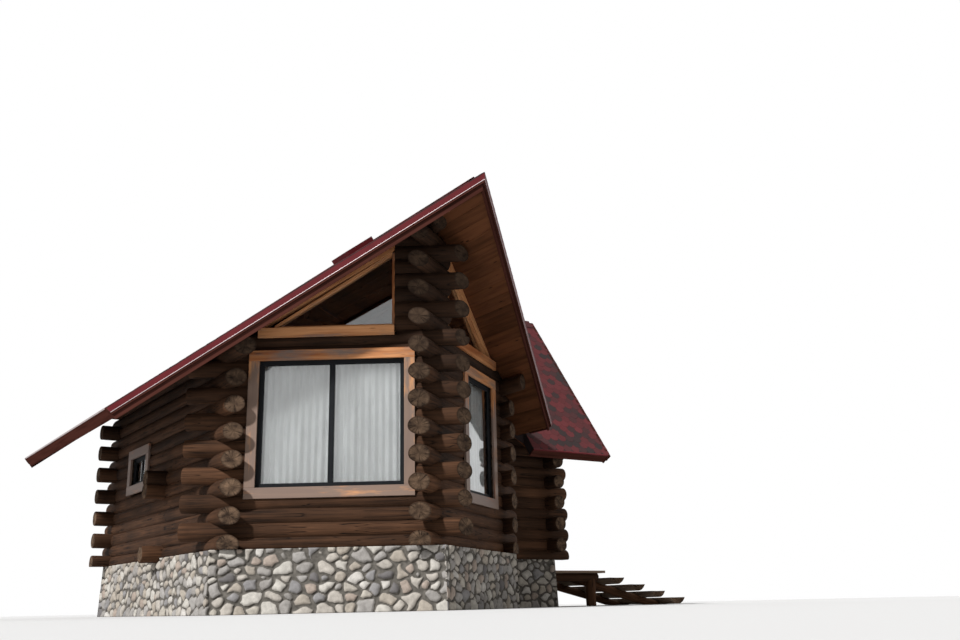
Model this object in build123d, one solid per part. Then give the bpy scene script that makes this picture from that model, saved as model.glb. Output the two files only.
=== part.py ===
from build123d import *
import os
from math import atan, cos, pi, sin, sqrt, tan

# Log cabin with a pointed glazed front, a steep side wing and a fieldstone plinth.
# Millimetres. The origin is on the ground under the corner where the two front walls
# meet, +Y runs back along the main ridge, +X is to the right and +Z is up.

# Plan, measured between the centre lines of the log walls
half_width = 2630.0          # ridge line to each side wall
prow_depth = 1905.0          # front corner to the front ends of the side walls
back_y = 7420.0              # centre line of the back wall
wing_reach = 2270.0          # side wall to the wing's end wall
wing_middle_y = 4778.0       # the wing's ridge
wing_half_width = 1353.0     # wing ridge to its front and rear walls

# Logs
log_radius = 140.0
course = 210.0               # rise from one log to the next
gable_course = 235.0         # rise above the wall plates, where thicker logs were used
sill_rise = 66.0             # centre of the first log above the plinth
wall_courses = 15            # logs up to and with the wall plate
stack_courses = 23           # logs in the front corner, under the ridge log
seat_gap = 0.3               # all round a groove, a notch or a fitted piece
corner_stub = 450.0          # how far a log runs past a corner
prow_stub = 500.0            # past the front corner
flare_stub = 560.0           # front wall logs past the side walls
plate_stub = 800.0           # wall plates past the front corners, under the eaves
inner_stub = 190.0           # past the corners inside the house
butt_inset = 70.0            # a butting log ends this far from the corner's centre
prow_cut_turn = 15.0         # degrees between a front stub's cut and the ridge's square

# Plinth and floor
plinth_height = 924.0
plinth_out_front = 300.0     # outer face from the front walls' centre lines, at the top
plinth_out_left = 190.0
plinth_out_right = 150.0
plinth_out_back = 120.0
plinth_out_wing = 100.0
plinth_batter = 30.0         # how much further it stands out at the ground
plinth_in = 200.0            # inner face from the wall's centre line
floor_thickness = 40.0
floor_gap = 10.0             # floor boards to the logs

# Main roof
main_pitch = 38.1            # degrees
roof_thickness = 190.0       # boards, rafters and cover, square to the slope
plate_seat = 135.0           # plate centre to the roof's underside
tip_overhang = 1465.0        # ridge tip in front of the front corner
rake_turn = 41.2             # degrees that the front rakes sweep back from square
left_eave = 4300.0           # ridge line to the left eave
right_eave = 3800.0
rear_overhang = 630.0
wing_eave = 2420.0           # wing ridge to its eaves
wing_rake_overhang = 810.0   # wing roof past its end wall

# Roof trim
fascia_thickness = 35.0
fascia_top = 10.0            # fascia below the roof's upper face
fascia_drop = 60.0           # rake fascia below the roof's underside
eave_drop = 15.0             # eave fascia below it, square to the slope
rake_past = 100.0            # rake boards are laid this much too long, then sawn square
fascia_step = 70.0           # the outer rake board ends this much higher
mitre_gap = 0.6
flashing_thickness = 10.0
flashing_height = 150.0      # upright leg over the fascia
flashing_width = 30.0        # leg on the slope, under the cover
cap_width = 150.0
cap_thickness = 22.0

# Windows and door, along their wall from the named corner
casing_width = 165.0
casing_lap = 45.0            # casing over the frame
casing_thickness = 45.0
casing_seat = 125.0          # wall centre to the flat cut for the casing
frame_width = 100.0
frame_out = 90.0             # wall centre to the frame's outer face
frame_in = 20.0              # wall centre to the frame's inner face, also outwards
glass_thickness = 24.0
mullion_width = 60.0
prow_sill_z = 1787.0
prow_head_z = 3844.0
prow_left_near = 369.0       # front corner to the left front window
prow_left_far = 2720.0
prow_right_near = 1190.0     # front corner to the right front window
prow_right_far = 2540.0
small_width = 1010.0
small_sill_z = 2290.0
small_head_z = 2880.0
side_window_y = 5775.0       # middle of the left wall's window
door_width = 940.0
door_head_z = 3030.0
door_thickness = 56.0
door_frame_width = 70.0
threshold_height = 50.0
door_gap = 0.6

# Glazed gables over the front windows
gable_sill_z = 4170.0
gable_sill_height = 160.0
gable_sill_out = 170.0       # wall centre to the beam's outer face
gable_sill_in = 80.0
stack_reach = 570.0          # corner logs along the front walls, over the windows
gable_far = 2720.0           # front corner to the far end of the gable sill
rake_beam_drop = 200.0       # lower edge of the raking beam under the roof
rake_beam_half = 75.0
gable_glass_half = 10.0

# Curtains behind the front windows
rail_height = 30.0
rail_half = 12.0
curtain_in = 65.0            # wall centre to the middle of the curtain, inwards
curtain_half = 40.0
curtain_gap = 60.0           # between the two curtains and at the jambs
curtain_clear = 30.0         # over the window's sill

# Entrance at the wing's end
landing_z = 720.0
landing_depth = 1600.0
landing_half = 1150.0
landing_board = 50.0
bearer_radius = 95.0
bearer_flat = 15.0           # how much of a bearer's round is taken off
bearer_y = 950.0             # the wing's ridge to each bearer
bearer_inset = 100.0         # bearers end before the landing's edge
post_radius = 105.0
post_inset = 160.0
tread_radius = 220.0
tread_depth = 135.0
tread_half = 1150.0
tread_going = 600.0
tread_first = 330.0          # landing's edge to the first tread's middle
tread_count = 4
stringer_radius = 85.0
stringer_seat = 25.0         # let into the treads
stringer_y = 620.0
stringer_past = 120.0        # past the last tread's middle

# Small things
cross_wall_y = 4250.0        # an inner wall's log ends show on the left wall
cross_wall_courses = (0, 5, 6)
cross_wall_inner = 190.0
ridge_log_start = -300.0
wing_ridge_radius = 158.0    # the wing's ridge log is thicker
ridge_flat = 12.0            # how much the roof takes off it
crumb = 2e5                  # smallest piece of a log that is kept, in cubic millimetres
roof_window_x = 950.0        # ridge line to the roof window's middle
roof_window_y = 850.0
roof_window_length = 560.0
roof_window_width = 550.0
roof_window_height = 75.0
roof_window_edge = 55.0

# Reach of the blocks that cut everything away on one side
far = 12000.0
over_ridge = 2000.0


def turn(degrees_):
    """Degrees as radians."""
    return degrees_ * pi / 180


wing_end_x = half_width + wing_reach
wing_front_y = wing_middle_y - wing_half_width
wing_rear_y = wing_middle_y + wing_half_width
first_z = plinth_height + sill_rise


def course_z(k):
    """Height of the centre of log number k."""
    plain = min(k, wall_courses)
    return first_z + course * plain + gable_course * (k - plain)


plate_z = course_z(wall_courses - 1)

# The main roof bears on the side walls' plates, and the wing's ridge is level with its own.
main_slope = tan(turn(main_pitch))
main_drop = roof_thickness / cos(turn(main_pitch))
ridge_z = plate_z + half_width * main_slope + (plate_seat + roof_thickness) / cos(turn(main_pitch))
wing_rise = ridge_z - plate_z
wing_seat = plate_seat + roof_thickness
wing_slope = (wing_rise * wing_half_width - wing_seat * sqrt(
    wing_rise ** 2 + wing_half_width ** 2 - wing_seat ** 2)) / (wing_half_width ** 2 - wing_seat ** 2)
wing_drop = roof_thickness * sqrt(1 + wing_slope ** 2)
tip_y = -tip_overhang
rear_y = back_y + rear_overhang
rake_slope = tan(turn(rake_turn))
wing_rake_x = wing_end_x + wing_rake_overhang
wing_eave_front = wing_middle_y - wing_eave
wing_eave_rear = wing_middle_y + wing_eave
top_z = ridge_z + over_ridge


def main_top(x):
    """Height of the main roof's upper face."""
    return ridge_z - main_slope * abs(x)


class Wall:
    """A log wall from one corner to the next, with the inside on its left."""

    def __init__(self, name, start, end):
        self.name = name
        self.start = Vector(*start, 0)
        self.length = (Vector(*end, 0) - self.start).length
        self.along = (Vector(*end, 0) - self.start) / self.length
        self.inward = Vector(0, 0, 1).cross(self.along)
        self.place = Plane(origin=self.start, x_dir=self.along, z_dir=(0, 0, 1))

    def box(self, s, y, z):
        """A block between two distances along the wall, across it and up."""
        size = (s[1] - s[0], y[1] - y[0], z[1] - z[0])
        corner = Pos(s[0], y[0], z[0]) * Box(*size, align=(Align.MIN, Align.MIN, Align.MIN))
        return self.place * corner

    def log(self, s0, s1, z, radius=log_radius):
        """A round log between two distances along the wall."""
        start = self.start + self.along * s0 + Vector(0, 0, z)
        bar = Cylinder(radius, s1 - s0, align=(Align.CENTER, Align.CENTER, Align.MIN))
        return Plane(origin=start, z_dir=self.along) * bar

    def panel(self, points, y):
        """A flat panel from points along and up the wall, between two faces."""
        face = Face(Wire.make_polygon([Vector(s, 0, z) for s, z in points]))
        if face.normal_at().Y < 0:
            face = -face
        panel = extrude(Pos(0, y[0], 0) * face, amount=y[1] - y[0], dir=(0, 1, 0))
        return self.place * panel


corner_c = (0.0, 0.0)
corner_d = (half_width, prow_depth)
corner_b = (-half_width, prow_depth)
corner_a = (-half_width, back_y)
corner_r = (half_width, back_y)
inner_f = (half_width, wing_front_y)
inner_r = (half_width, wing_rear_y)
wing_f = (wing_end_x, wing_front_y)
wing_r = (wing_end_x, wing_rear_y)

prow_right = Wall("prow_right", corner_c, corner_d)
right_front = Wall("right_side", corner_d, inner_f)
wing_front = Wall("wing_front", inner_f, wing_f)
wing_end = Wall("wing_end", wing_f, wing_r)
wing_rear = Wall("wing_rear", wing_r, inner_r)
right_rear = Wall("right_side", inner_r, corner_r)
back = Wall("back_wall", corner_r, corner_a)
left_side = Wall("left_side", corner_a, corner_b)
prow_left = Wall("prow_left", corner_b, corner_c)
prow_length = prow_left.length


class Corner:
    """Two walls that take turns to run past each other, log by log."""

    def __init__(self, before, after, even, stubs, cuts=(None, None), plate=None):
        self.before = before      # the wall that ends here
        self.after = after        # the wall that starts here
        self.even = even          # the wall that runs past on even courses
        self.stubs = stubs        # how far each runs past
        self.cuts = cuts          # directions square to the sawn ends, or None for square
        self.plate = plate        # how far the wall plate runs past, where it differs

    def passes(self, k):
        """The wall that runs past on course k, and its stub and cut."""
        ends = self.before if (k % 2 == 0) == (self.even is self.before) else self.after
        which = 0 if ends is self.before else 1
        stub = self.stubs[which]
        if self.plate and k == wall_courses - 1:
            stub = self.plate
        return ends, stub, self.cuts[which]


def sawn(degrees_, side):
    """A direction in plan, turned from straight ahead towards one side."""
    return Vector(side * sin(turn(degrees_)), -cos(turn(degrees_)), 0)


corners = [
    Corner(prow_left, prow_right, prow_right, (prow_stub, prow_stub),
           (sawn(prow_cut_turn, 1), sawn(prow_cut_turn, -1))),
    Corner(prow_right, right_front, right_front, (flare_stub, corner_stub),
           (None, prow_right.inward * -1), plate_stub),
    Corner(right_front, wing_front, wing_front, (inner_stub, inner_stub)),
    Corner(wing_front, wing_end, wing_front, (corner_stub, corner_stub)),
    Corner(wing_end, wing_rear, wing_rear, (corner_stub, corner_stub)),
    Corner(wing_rear, right_rear, wing_rear, (inner_stub, inner_stub)),
    Corner(right_rear, back, back, (corner_stub, corner_stub)),
    Corner(back, left_side, back, (corner_stub, corner_stub)),
    Corner(left_side, prow_left, left_side, (corner_stub, flare_stub),
           (prow_left.inward * -1, None), plate_stub),
]


class Opening:
    """A hole through a wall, and the flat cut around it for its casing."""

    def __init__(self, wall, s0, s1, z0, z1):
        self.wall = wall
        self.s0 = s0
        self.s1 = s1
        self.z0 = z0
        self.z1 = z1
        self.edge = casing_width - casing_lap

    def cutters(self):
        """The hole, and the seat of the casing."""
        edge = self.edge + seat_gap
        hole = self.wall.box((self.s0, self.s1), (-2 * log_radius, 2 * log_radius), (self.z0, self.z1))
        seat = self.wall.box((self.s0 - edge, self.s1 + edge), (-2 * log_radius, -casing_seat),
                             (self.z0 - edge, self.z1 + edge))
        return [hole, seat]


prow_left_window = Opening(prow_left, prow_length - prow_left_far, prow_length - prow_left_near,
                           prow_sill_z, prow_head_z)
prow_right_window = Opening(prow_right, prow_right_near, prow_right_far, prow_sill_z, prow_head_z)
side_window_s = back_y - side_window_y
side_window = Opening(left_side, side_window_s - small_width / 2, side_window_s + small_width / 2,
                      small_sill_z, small_head_z)
back_window = Opening(back, half_width - small_width / 2, half_width + small_width / 2,
                      small_sill_z, small_head_z)
doorway = Opening(wing_end, wing_half_width - door_width / 2, wing_half_width + door_width / 2,
                  plinth_height, door_head_z)
openings = [prow_left_window, prow_right_window, side_window, back_window, doorway]


def ridge_prism(under, slope, across):
    """Everything over a pair of roof slopes, as far as anything reaches."""
    outline = [(-far, under - slope * far), (0, under), (far, under - slope * far),
               (far, top_z), (-far, top_z)]
    if across:
        points = [Vector(-far, wing_middle_y + s, z) for s, z in outline]
        return extrude(Face(Wire.make_polygon(points)), amount=3 * far, dir=(1, 0, 0))
    points = [Vector(s, -far, z) for s, z in outline]
    return extrude(Face(Wire.make_polygon(points)), amount=3 * far, dir=(0, 1, 0))


def plan_prism(points, z0, z1):
    """An upright block on a plan outline."""
    return extrude(Face(Wire.make_polygon([Vector(x, y, z0) for x, y in points])),
                   amount=z1 - z0, dir=(0, 0, 1))


# The valleys run from the crossing of the two ridges to the right eave.
valley_run = main_slope * right_eave / wing_slope
wing_room_over = plan_prism([
    (-seat_gap, wing_middle_y),
    (right_eave, wing_middle_y - valley_run - seat_gap),
    (right_eave, wing_eave_front),
    (far, wing_eave_front),
    (far, wing_eave_rear),
    (right_eave, wing_eave_rear),
    (right_eave, wing_middle_y + valley_run + seat_gap),
], 0, top_z)
main_sky = ridge_prism(ridge_z - main_drop - seat_gap, main_slope, False) - wing_room_over
wing_sky = ridge_prism(ridge_z - wing_drop - seat_gap, wing_slope, True) & wing_room_over
ground = Box(4 * far, 4 * far, plinth_height, align=(Align.CENTER, Align.CENTER, Align.MIN))


class Log:
    """One log of a wall, with the length it has before it is fitted."""

    def __init__(self, wall, k, s0, s1, cuts=()):
        self.wall = wall
        self.k = k
        self.s0 = s0
        self.s1 = s1
        self.cuts = cuts

    def solid(self):
        """The plain round log, sawn off at its ends."""
        body = self.wall.log(self.s0, self.s1, course_z(self.k))
        for point, outward in self.cuts:
            waste = Box(far, far, far, align=(Align.CENTER, Align.CENTER, Align.MIN))
            body -= Plane(origin=point, z_dir=outward) * waste
        return body

    def gauge(self):
        """The room that a log laid on or against this one leaves for it."""
        return self.wall.log(self.s0 - seat_gap, self.s1 + seat_gap, course_z(self.k),
                             log_radius + seat_gap)


def reach(wall, k, at_end):
    """How far log k runs past its corner, and the saw cut there. Less than nothing
    where it butts."""
    corner = [c for c in corners if (c.before if at_end else c.after) is wall][0]
    winner, stub, cut = corner.passes(k)
    if winner is not wall:
        return -butt_inset, []
    if cut is None:
        return stub, []
    point = wall.start + wall.along * (wall.length + stub if at_end else -stub)
    return stub + log_radius, [(point + Vector(0, 0, course_z(k)), cut)]


def wall_log(wall, k):
    """Log k of a wall, from corner to corner."""
    start, start_cuts = reach(wall, k, False)
    end, end_cuts = reach(wall, k, True)
    return Log(wall, k, -start, wall.length + end, start_cuts + end_cuts)


def stack_log(wall, k):
    """A short log by the front corner, beside the glazed gable."""
    log = wall_log(wall, k)
    if wall is prow_left:
        return Log(wall, k, wall.length - stack_reach, log.s1, reach(wall, k, True)[1])
    return Log(wall, k, log.s0, stack_reach, reach(wall, k, False)[1])


def gable_log(wall, k, under, slope):
    """A log in a gable, as long as the roof leaves room for."""
    half = (under - course_z(k) + log_radius) / slope
    return Log(wall, k, wall.length / 2 - half, wall.length / 2 + half)


prow_walls = (prow_left, prow_right)
main_walls = [prow_right, right_front, wing_front, wing_end, wing_rear, right_rear, back,
              left_side, prow_left]
cross_wall = Wall("cross_wall", (0, cross_wall_y), (-half_width, cross_wall_y))

logs = [wall_log(wall, k) for wall in main_walls for k in range(wall_courses)]
logs += [wall_log(wall, wall_courses) for wall in prow_walls]
logs += [stack_log(wall, k) for k in range(wall_courses + 1, stack_courses) for wall in prow_walls]
logs += [gable_log(back, k, ridge_z - main_drop, main_slope)
         for k in range(wall_courses, stack_courses)]
logs += [gable_log(wing_end, k, ridge_z - wing_drop, wing_slope)
         for k in range(wall_courses, stack_courses - 1)]
logs += [Log(cross_wall, k, half_width - cross_wall_inner, half_width + corner_stub)
         for k in cross_wall_courses]

ridge_log_z = course_z(stack_courses)
wing_ridge_log_z = ridge_z - wing_drop - (wing_ridge_radius - ridge_flat) * sqrt(1 + wing_slope ** 2)


def ridge_log(radius):
    """The main ridge log as a plain round bar."""
    bar = Cylinder(radius, back_y + corner_stub - ridge_log_start,
                   align=(Align.CENTER, Align.CENTER, Align.MIN))
    return Plane(origin=(0, ridge_log_start, ridge_log_z), z_dir=(0, 1, 0)) * bar


def wing_ridge_log(radius):
    """The wing's ridge log as a plain round bar."""
    bar = Cylinder(radius, wing_end_x + corner_stub, align=(Align.CENTER, Align.CENTER, Align.MIN))
    return Plane(origin=(0, wing_middle_y, wing_ridge_log_z), z_dir=(1, 0, 0)) * bar


gable_sill_cutters = [
    prow_left.box((prow_length - gable_far, prow_length - stack_reach),
                  (-2 * log_radius, 2 * log_radius), (gable_sill_z, top_z)),
    prow_right.box((stack_reach, gable_far), (-2 * log_radius, 2 * log_radius),
                   (gable_sill_z, top_z)),
]


def near(one, other):
    """Whether the boxes round two solids meet."""
    a = one.bounding_box()
    b = other.bounding_box()
    return all(getattr(a.min, c) < getattr(b.max, c) and getattr(b.min, c) < getattr(a.max, c)
               for c in "XYZ")


def stops(other, log):
    """Whether a log at the same height runs past the corner where this one butts."""
    if other.wall is cross_wall:
        return log.wall is left_side
    for corner in corners:
        if {id(corner.before), id(corner.after)} == {id(other.wall), id(log.wall)}:
            return corner.passes(log.k)[0] is other.wall
    return False


def carve(body, cutters):
    """The solids left of a body, without crumbs."""
    for cutter in cutters:
        body = body - cutter
    return [piece for piece in body.solids() if piece.volume > crumb]


def fit_logs():
    """Each log is scribed over the logs below it and against the log that runs past its
    end, then cut for the openings, the plinth and the roof."""
    gauges = [log.gauge() for log in logs]
    ridge_gauges = [ridge_log(log_radius + seat_gap), wing_ridge_log(wing_ridge_radius + seat_gap)]
    cross_s = back_y - cross_wall_y
    cross_slot = left_side.box((cross_s - butt_inset, cross_s + butt_inset),
                               (-2 * log_radius, 2 * log_radius), (0, top_z))
    holes = [(opening.wall, cutter) for opening in openings for cutter in opening.cutters()]
    fitted = {}
    for log in logs:
        body = log.solid()
        cutters = []
        for other, gauge in zip(logs, gauges):
            below = other.k == log.k - 1
            beside = other.k == log.k and other.wall is not log.wall and stops(other, log)
            if (below or beside) and near(gauge, body):
                cutters.append(gauge)
        cutters += [cutter for wall, cutter in holes if wall is log.wall and near(cutter, body)]
        if log.wall is left_side and log.k in cross_wall_courses:
            cutters.append(cross_slot)
        if log.k == 0:
            cutters.append(ground)
        if log.k >= wall_courses - 2:
            cutters += [sky for sky in (main_sky, wing_sky) if near(sky, body)]
        if log.k == wall_courses:
            cutters += [cutter for cutter in gable_sill_cutters if near(cutter, body)]
        if log.k >= stack_courses - 2:
            cutters += [gauge for gauge in ridge_gauges if near(gauge, body)]
        owner = left_side if log.wall is cross_wall else log.wall
        key = owner.name + ("_logs_even" if log.k % 2 == 0 else "_logs_odd")
        fitted.setdefault(key, []).extend(carve(body, cutters))
    return fitted


def offset_outline(points, outs):
    """A plan outline, run anticlockwise, each of its edges moved outwards."""
    count = len(points)
    lines = []
    for n, out in enumerate(outs):
        a = Vector(*points[n], 0)
        b = Vector(*points[(n + 1) % count], 0)
        along = (b - a).normalized()
        outward = Vector(along.Y, -along.X, 0)
        lines.append((a + outward * out, along))
    moved = []
    for n in range(count):
        p, d = lines[n - 1]
        q, e = lines[n]
        t = ((q.X - p.X) * e.Y - (q.Y - p.Y) * e.X) / (d.X * e.Y - d.Y * e.X)
        moved.append((p.X + d.X * t, p.Y + d.Y * t))
    return moved


house = [corner_c, corner_d, inner_f, wing_f, wing_r, inner_r, corner_r, corner_a, corner_b]
plinth_outs = [plinth_out_front, plinth_out_right, plinth_out_wing, plinth_out_wing, plinth_out_wing,
               plinth_out_right, plinth_out_back, plinth_out_left, plinth_out_front]


def stone_plinth():
    """A battered ring of masonry under all the walls."""
    foot = offset_outline(house, [out + plinth_batter for out in plinth_outs])
    head = offset_outline(house, plinth_outs)
    low = Face(Wire.make_polygon([Vector(x, y, 0) for x, y in foot]))
    high = Face(Wire.make_polygon([Vector(x, y, plinth_height) for x, y in head]))
    body = loft([low, high], ruled=True)
    return [body - plan_prism(offset_outline(house, [-plinth_in] * len(house)), 0, plinth_height)]


def floor_boards():
    """The floor, let in between the lowest logs and borne by the plinth."""
    outline = offset_outline(house, [-log_radius - floor_gap] * len(house))
    boards = plan_prism(outline, plinth_height + seat_gap, plinth_height + floor_thickness)
    return carve(boards, [log.gauge() for log in logs if log.k == 0 and near(log.gauge(), boards)])


def slab(points, top, drop):
    """A sloping slab: a plan outline lifted to the roof and carried straight down."""
    face = Face(Wire.make_polygon([Vector(x, y, top(x, y)) for x, y in points]))
    return extrude(face, amount=drop, dir=(0, 0, -1))


def on_main(lift=0.0):
    """The main roof's upper face, lifted by some height."""
    return lambda x, y: ridge_z - main_slope * abs(x) + lift


def on_wing(lift=0.0):
    """The wing roof's upper face, lifted by some height."""
    return lambda x, y: ridge_z - wing_slope * abs(y - wing_middle_y) + lift


def beyond_eave(side, across, out):
    """Everything past one eave, cut square to the slope, some way past the roof's own edge."""
    pitch = atan(wing_slope) if across else turn(main_pitch)
    if across:
        edge = Vector(0, wing_middle_y + side * wing_eave, on_wing()(0, wing_middle_y + wing_eave))
        down = Vector(0, side * cos(pitch), -sin(pitch))
    else:
        run = left_eave if side < 0 else right_eave
        edge = Vector(side * run, 0, on_main()(run, 0))
        down = Vector(side * cos(pitch), 0, -sin(pitch))
    waste = Box(4 * far, 4 * far, far, align=(Align.CENTER, Align.CENTER, Align.MIN))
    return Plane(origin=edge + down * out, z_dir=down) * waste


def main_outline(side, out, past=0.0):
    """The plan of one main slope, with its rakes moved out and its eave moved past its place.
    Side is -1 for left, 1 for right."""
    eave = (left_eave if side < 0 else right_eave) + past
    front = tip_y - out / cos(turn(rake_turn))
    return [(0, front), (side * eave, front + rake_slope * eave), (side * eave, rear_y + out),
            (0, rear_y + out)]


def wing_outline(side, out, past=0.0):
    """The plan of one wing slope past its inner edge. Side is -1 for front, 1 for rear."""
    eave_y = wing_middle_y + side * (wing_eave + past)
    return [(right_eave, eave_y), (wing_rake_x + out, eave_y), (wing_rake_x + out, wing_middle_y)]


def main_roof(side):
    """One slope of the main roof, cut off at the valleys on the wing's side."""
    body = slab(main_outline(side, 0), on_main(), main_drop) - beyond_eave(side, False, 0)
    if side > 0:
        body -= plan_prism([(0, wing_middle_y), (far, wing_middle_y - far * main_slope / wing_slope),
                            (far, wing_middle_y + far * main_slope / wing_slope)], 0, top_z)
    return [body]


def wing_roof(side):
    """One slope of the wing roof, up to its valley."""
    valley = [(0, wing_middle_y), (right_eave, wing_middle_y + side * valley_run)]
    return [slab(valley + wing_outline(side, 0), on_wing(), wing_drop) - beyond_eave(side, True, 0)]


def strip(inner, outer, top, drop):
    """A length of trim between two plan lines, mitred where they turn."""
    return slab([inner[0], inner[1], outer[1], outer[0]], top, drop)


def shorten(line, gap):
    """A plan line with its ends drawn in."""
    a = Vector(*line[0], 0)
    b = Vector(*line[1], 0)
    along = (b - a).normalized() * gap
    return [((a + along).X, (a + along).Y), ((b - along).X, (b - along).Y)]


def edge_lines(outline, side, n, offsets):
    """The same edge of a roof outline at several distances out."""
    return [shorten(outline(side, out, rake_past)[n:n + 2], mitre_gap) for out in offsets]


def rake_board(outline, side, n, top, drop):
    """Two boards, the outer one shorter, fixed to the sloping end of a roof."""
    inner, middle, outer = edge_lines(outline, side, n, (0, fascia_thickness, 2 * fascia_thickness))
    back_board = strip(inner, middle, top(-fascia_top), drop + fascia_drop - fascia_top)
    front_board = strip(middle, outer, top(-fascia_top), drop - fascia_step)
    return back_board + front_board


def rake_flashing(outline, side, n, top):
    """A folded metal edge over the rake boards and the first of the cover."""
    face = 2 * fascia_thickness
    inner, edge, outer = edge_lines(outline, side, n, (-flashing_width, face, face + flashing_thickness))
    leg = strip(edge, outer, top(flashing_thickness), flashing_height)
    return leg + strip(inner, edge, top(flashing_thickness), flashing_thickness)


rakes = [
    (main_outline, -1, 0, on_main, main_drop),
    (main_outline, 1, 0, on_main, main_drop),
    (main_outline, -1, 2, on_main, main_drop),
    (main_outline, 1, 2, on_main, main_drop),
    (wing_outline, -1, 1, on_wing, wing_drop),
    (wing_outline, 1, 1, on_wing, wing_drop),
]


def rake_fascias():
    """The boards along all the sloping roof ends, sawn flush with the eave boards."""
    return [rake_board(outline, side, n, top, drop)
            - beyond_eave(side, outline is wing_outline, fascia_thickness)
            for outline, side, n, top, drop in rakes]


def rake_flashings():
    """The metal edges along all the sloping roof ends."""
    return [rake_flashing(outline, side, n, top)
            - beyond_eave(side, outline is wing_outline, fascia_thickness)
            for outline, side, n, top, drop in rakes]


def eave_board(side, across, plan, top, lean):
    """A board along an eave, square to the slope."""
    layer = slab(plan, top(-fascia_top * lean), (roof_thickness + eave_drop - fascia_top) * lean)
    return layer & (beyond_eave(side, across, 0) - beyond_eave(side, across, fascia_thickness))


def eave_fascias():
    """The boards along the eaves. The right one is interrupted by the wing's roof."""
    lean = 1 / cos(turn(main_pitch))
    left_board = eave_board(-1, False, main_outline(-1, -mitre_gap, rake_past), on_main, lean)
    right_board = eave_board(1, False, main_outline(1, -mitre_gap, rake_past), on_main, lean)
    stop = wing_eave + fascia_thickness + mitre_gap
    wing_place = plan_prism([(0, wing_middle_y - stop), (far, wing_middle_y - stop),
                             (far, wing_middle_y + stop), (0, wing_middle_y + stop)], 0, top_z)
    boards = [left_board] + (right_board - wing_place).solids()
    for side in (-1, 1):
        plan = wing_outline(side, -mitre_gap, rake_past) + [(right_eave, wing_middle_y)]
        boards.append(eave_board(side, True, plan, on_wing, sqrt(1 + wing_slope ** 2)))
    return boards


def cap(width, thickness, slope, start, end, across):
    """A folded cap over a ridge."""
    rise = thickness * sqrt(1 + slope ** 2)
    low = ridge_z + seat_gap
    section = [(-width, low - slope * width), (0, low), (width, low - slope * width),
               (width, low - slope * width + rise), (0, low + rise), (-width, low - slope * width + rise)]
    if across:
        points = [Vector(start, wing_middle_y + s, z) for s, z in section]
        return extrude(Face(Wire.make_polygon(points)), amount=end - start, dir=(1, 0, 0))
    points = [Vector(s, start, z) for s, z in section]
    return extrude(Face(Wire.make_polygon(points)), amount=end - start, dir=(0, 1, 0))


def ridge_caps():
    """The caps over the two ridges, stopped where the ridges meet."""
    clear = cap_width * wing_slope / main_slope + cap_thickness
    main_start = tip_y + rake_slope * cap_width + flashing_width / cos(turn(rake_turn)) + seat_gap
    main_end = rear_y - flashing_width - seat_gap
    pieces = [cap(cap_width, cap_thickness, main_slope, main_start, wing_middle_y - clear, False),
              cap(cap_width, cap_thickness, main_slope, wing_middle_y + clear, main_end, False),
              cap(cap_width, cap_thickness, wing_slope, clear, wing_rake_x - flashing_width - seat_gap, True)]
    return pieces


def casing(opening):
    """Flat boards round an opening, let into the logs. The door's stand on the plinth."""
    out = opening.edge
    face = (-casing_seat - casing_thickness, -casing_seat - seat_gap)
    wall = opening.wall
    foot = max(opening.z0 - out, plinth_height + seat_gap)
    sill = opening.z0 + casing_lap if opening is not doorway else 0
    body = wall.box((opening.s0 - out, opening.s1 + out), face, (foot, opening.z1 + out))
    hole = wall.box((opening.s0 + casing_lap, opening.s1 - casing_lap), (-4 * log_radius, 0),
                    (sill, opening.z1 - casing_lap))
    return body - hole


def window_frame(opening, panes):
    """A window's frame with its posts, fitted in the logs."""
    wall = opening.wall
    depth = (-frame_out, -frame_in)
    body = wall.box((opening.s0 + seat_gap, opening.s1 - seat_gap), depth,
                    (opening.z0 + seat_gap, opening.z1 - seat_gap))
    for s0, s1, z0, z1 in pane_boxes(opening, panes):
        body -= wall.box((s0, s1), (-2 * frame_out, 2 * frame_out), (z0, z1))
    return body


def pane_boxes(opening, panes):
    """The clear openings of a window's frame."""
    width = opening.s1 - opening.s0 - 2 * frame_width - (panes - 1) * mullion_width
    boxes = []
    for n in range(panes):
        s0 = opening.s0 + frame_width + n * (width / panes + mullion_width)
        boxes.append((s0, s0 + width / panes, opening.z0 + frame_width, opening.z1 - frame_width))
    return boxes


def window_glass(opening, panes):
    """Sealed panes in a window's frame."""
    middle = -(frame_out + frame_in) / 2
    depth = (middle - glass_thickness / 2, middle + glass_thickness / 2)
    return [opening.wall.box((s0 + seat_gap, s1 - seat_gap), depth, (z0 + seat_gap, z1 - seat_gap))
            for s0, s1, z0, z1 in pane_boxes(opening, panes)]


windows = [(prow_left_window, 2), (prow_right_window, 1), (side_window, 2), (back_window, 2)]


def under_main(wall, s):
    """Height of the main roof's underside over a wall's centre line."""
    return ridge_z - main_drop - main_slope * abs((wall.start + wall.along * s).X)


def from_corner(wall, s):
    """Distance along a front wall, counted from the front corner."""
    return wall.length - s if wall is prow_left else s


gable_beam_top = gable_sill_z + gable_sill_height


def gable_sill(wall):
    """The beam under the glazed gable."""
    s = sorted(from_corner(wall, d) for d in (stack_reach + seat_gap, gable_far - seat_gap))
    return wall.box(s, (-gable_sill_out, gable_sill_in), (gable_sill_z + seat_gap, gable_beam_top))


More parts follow.
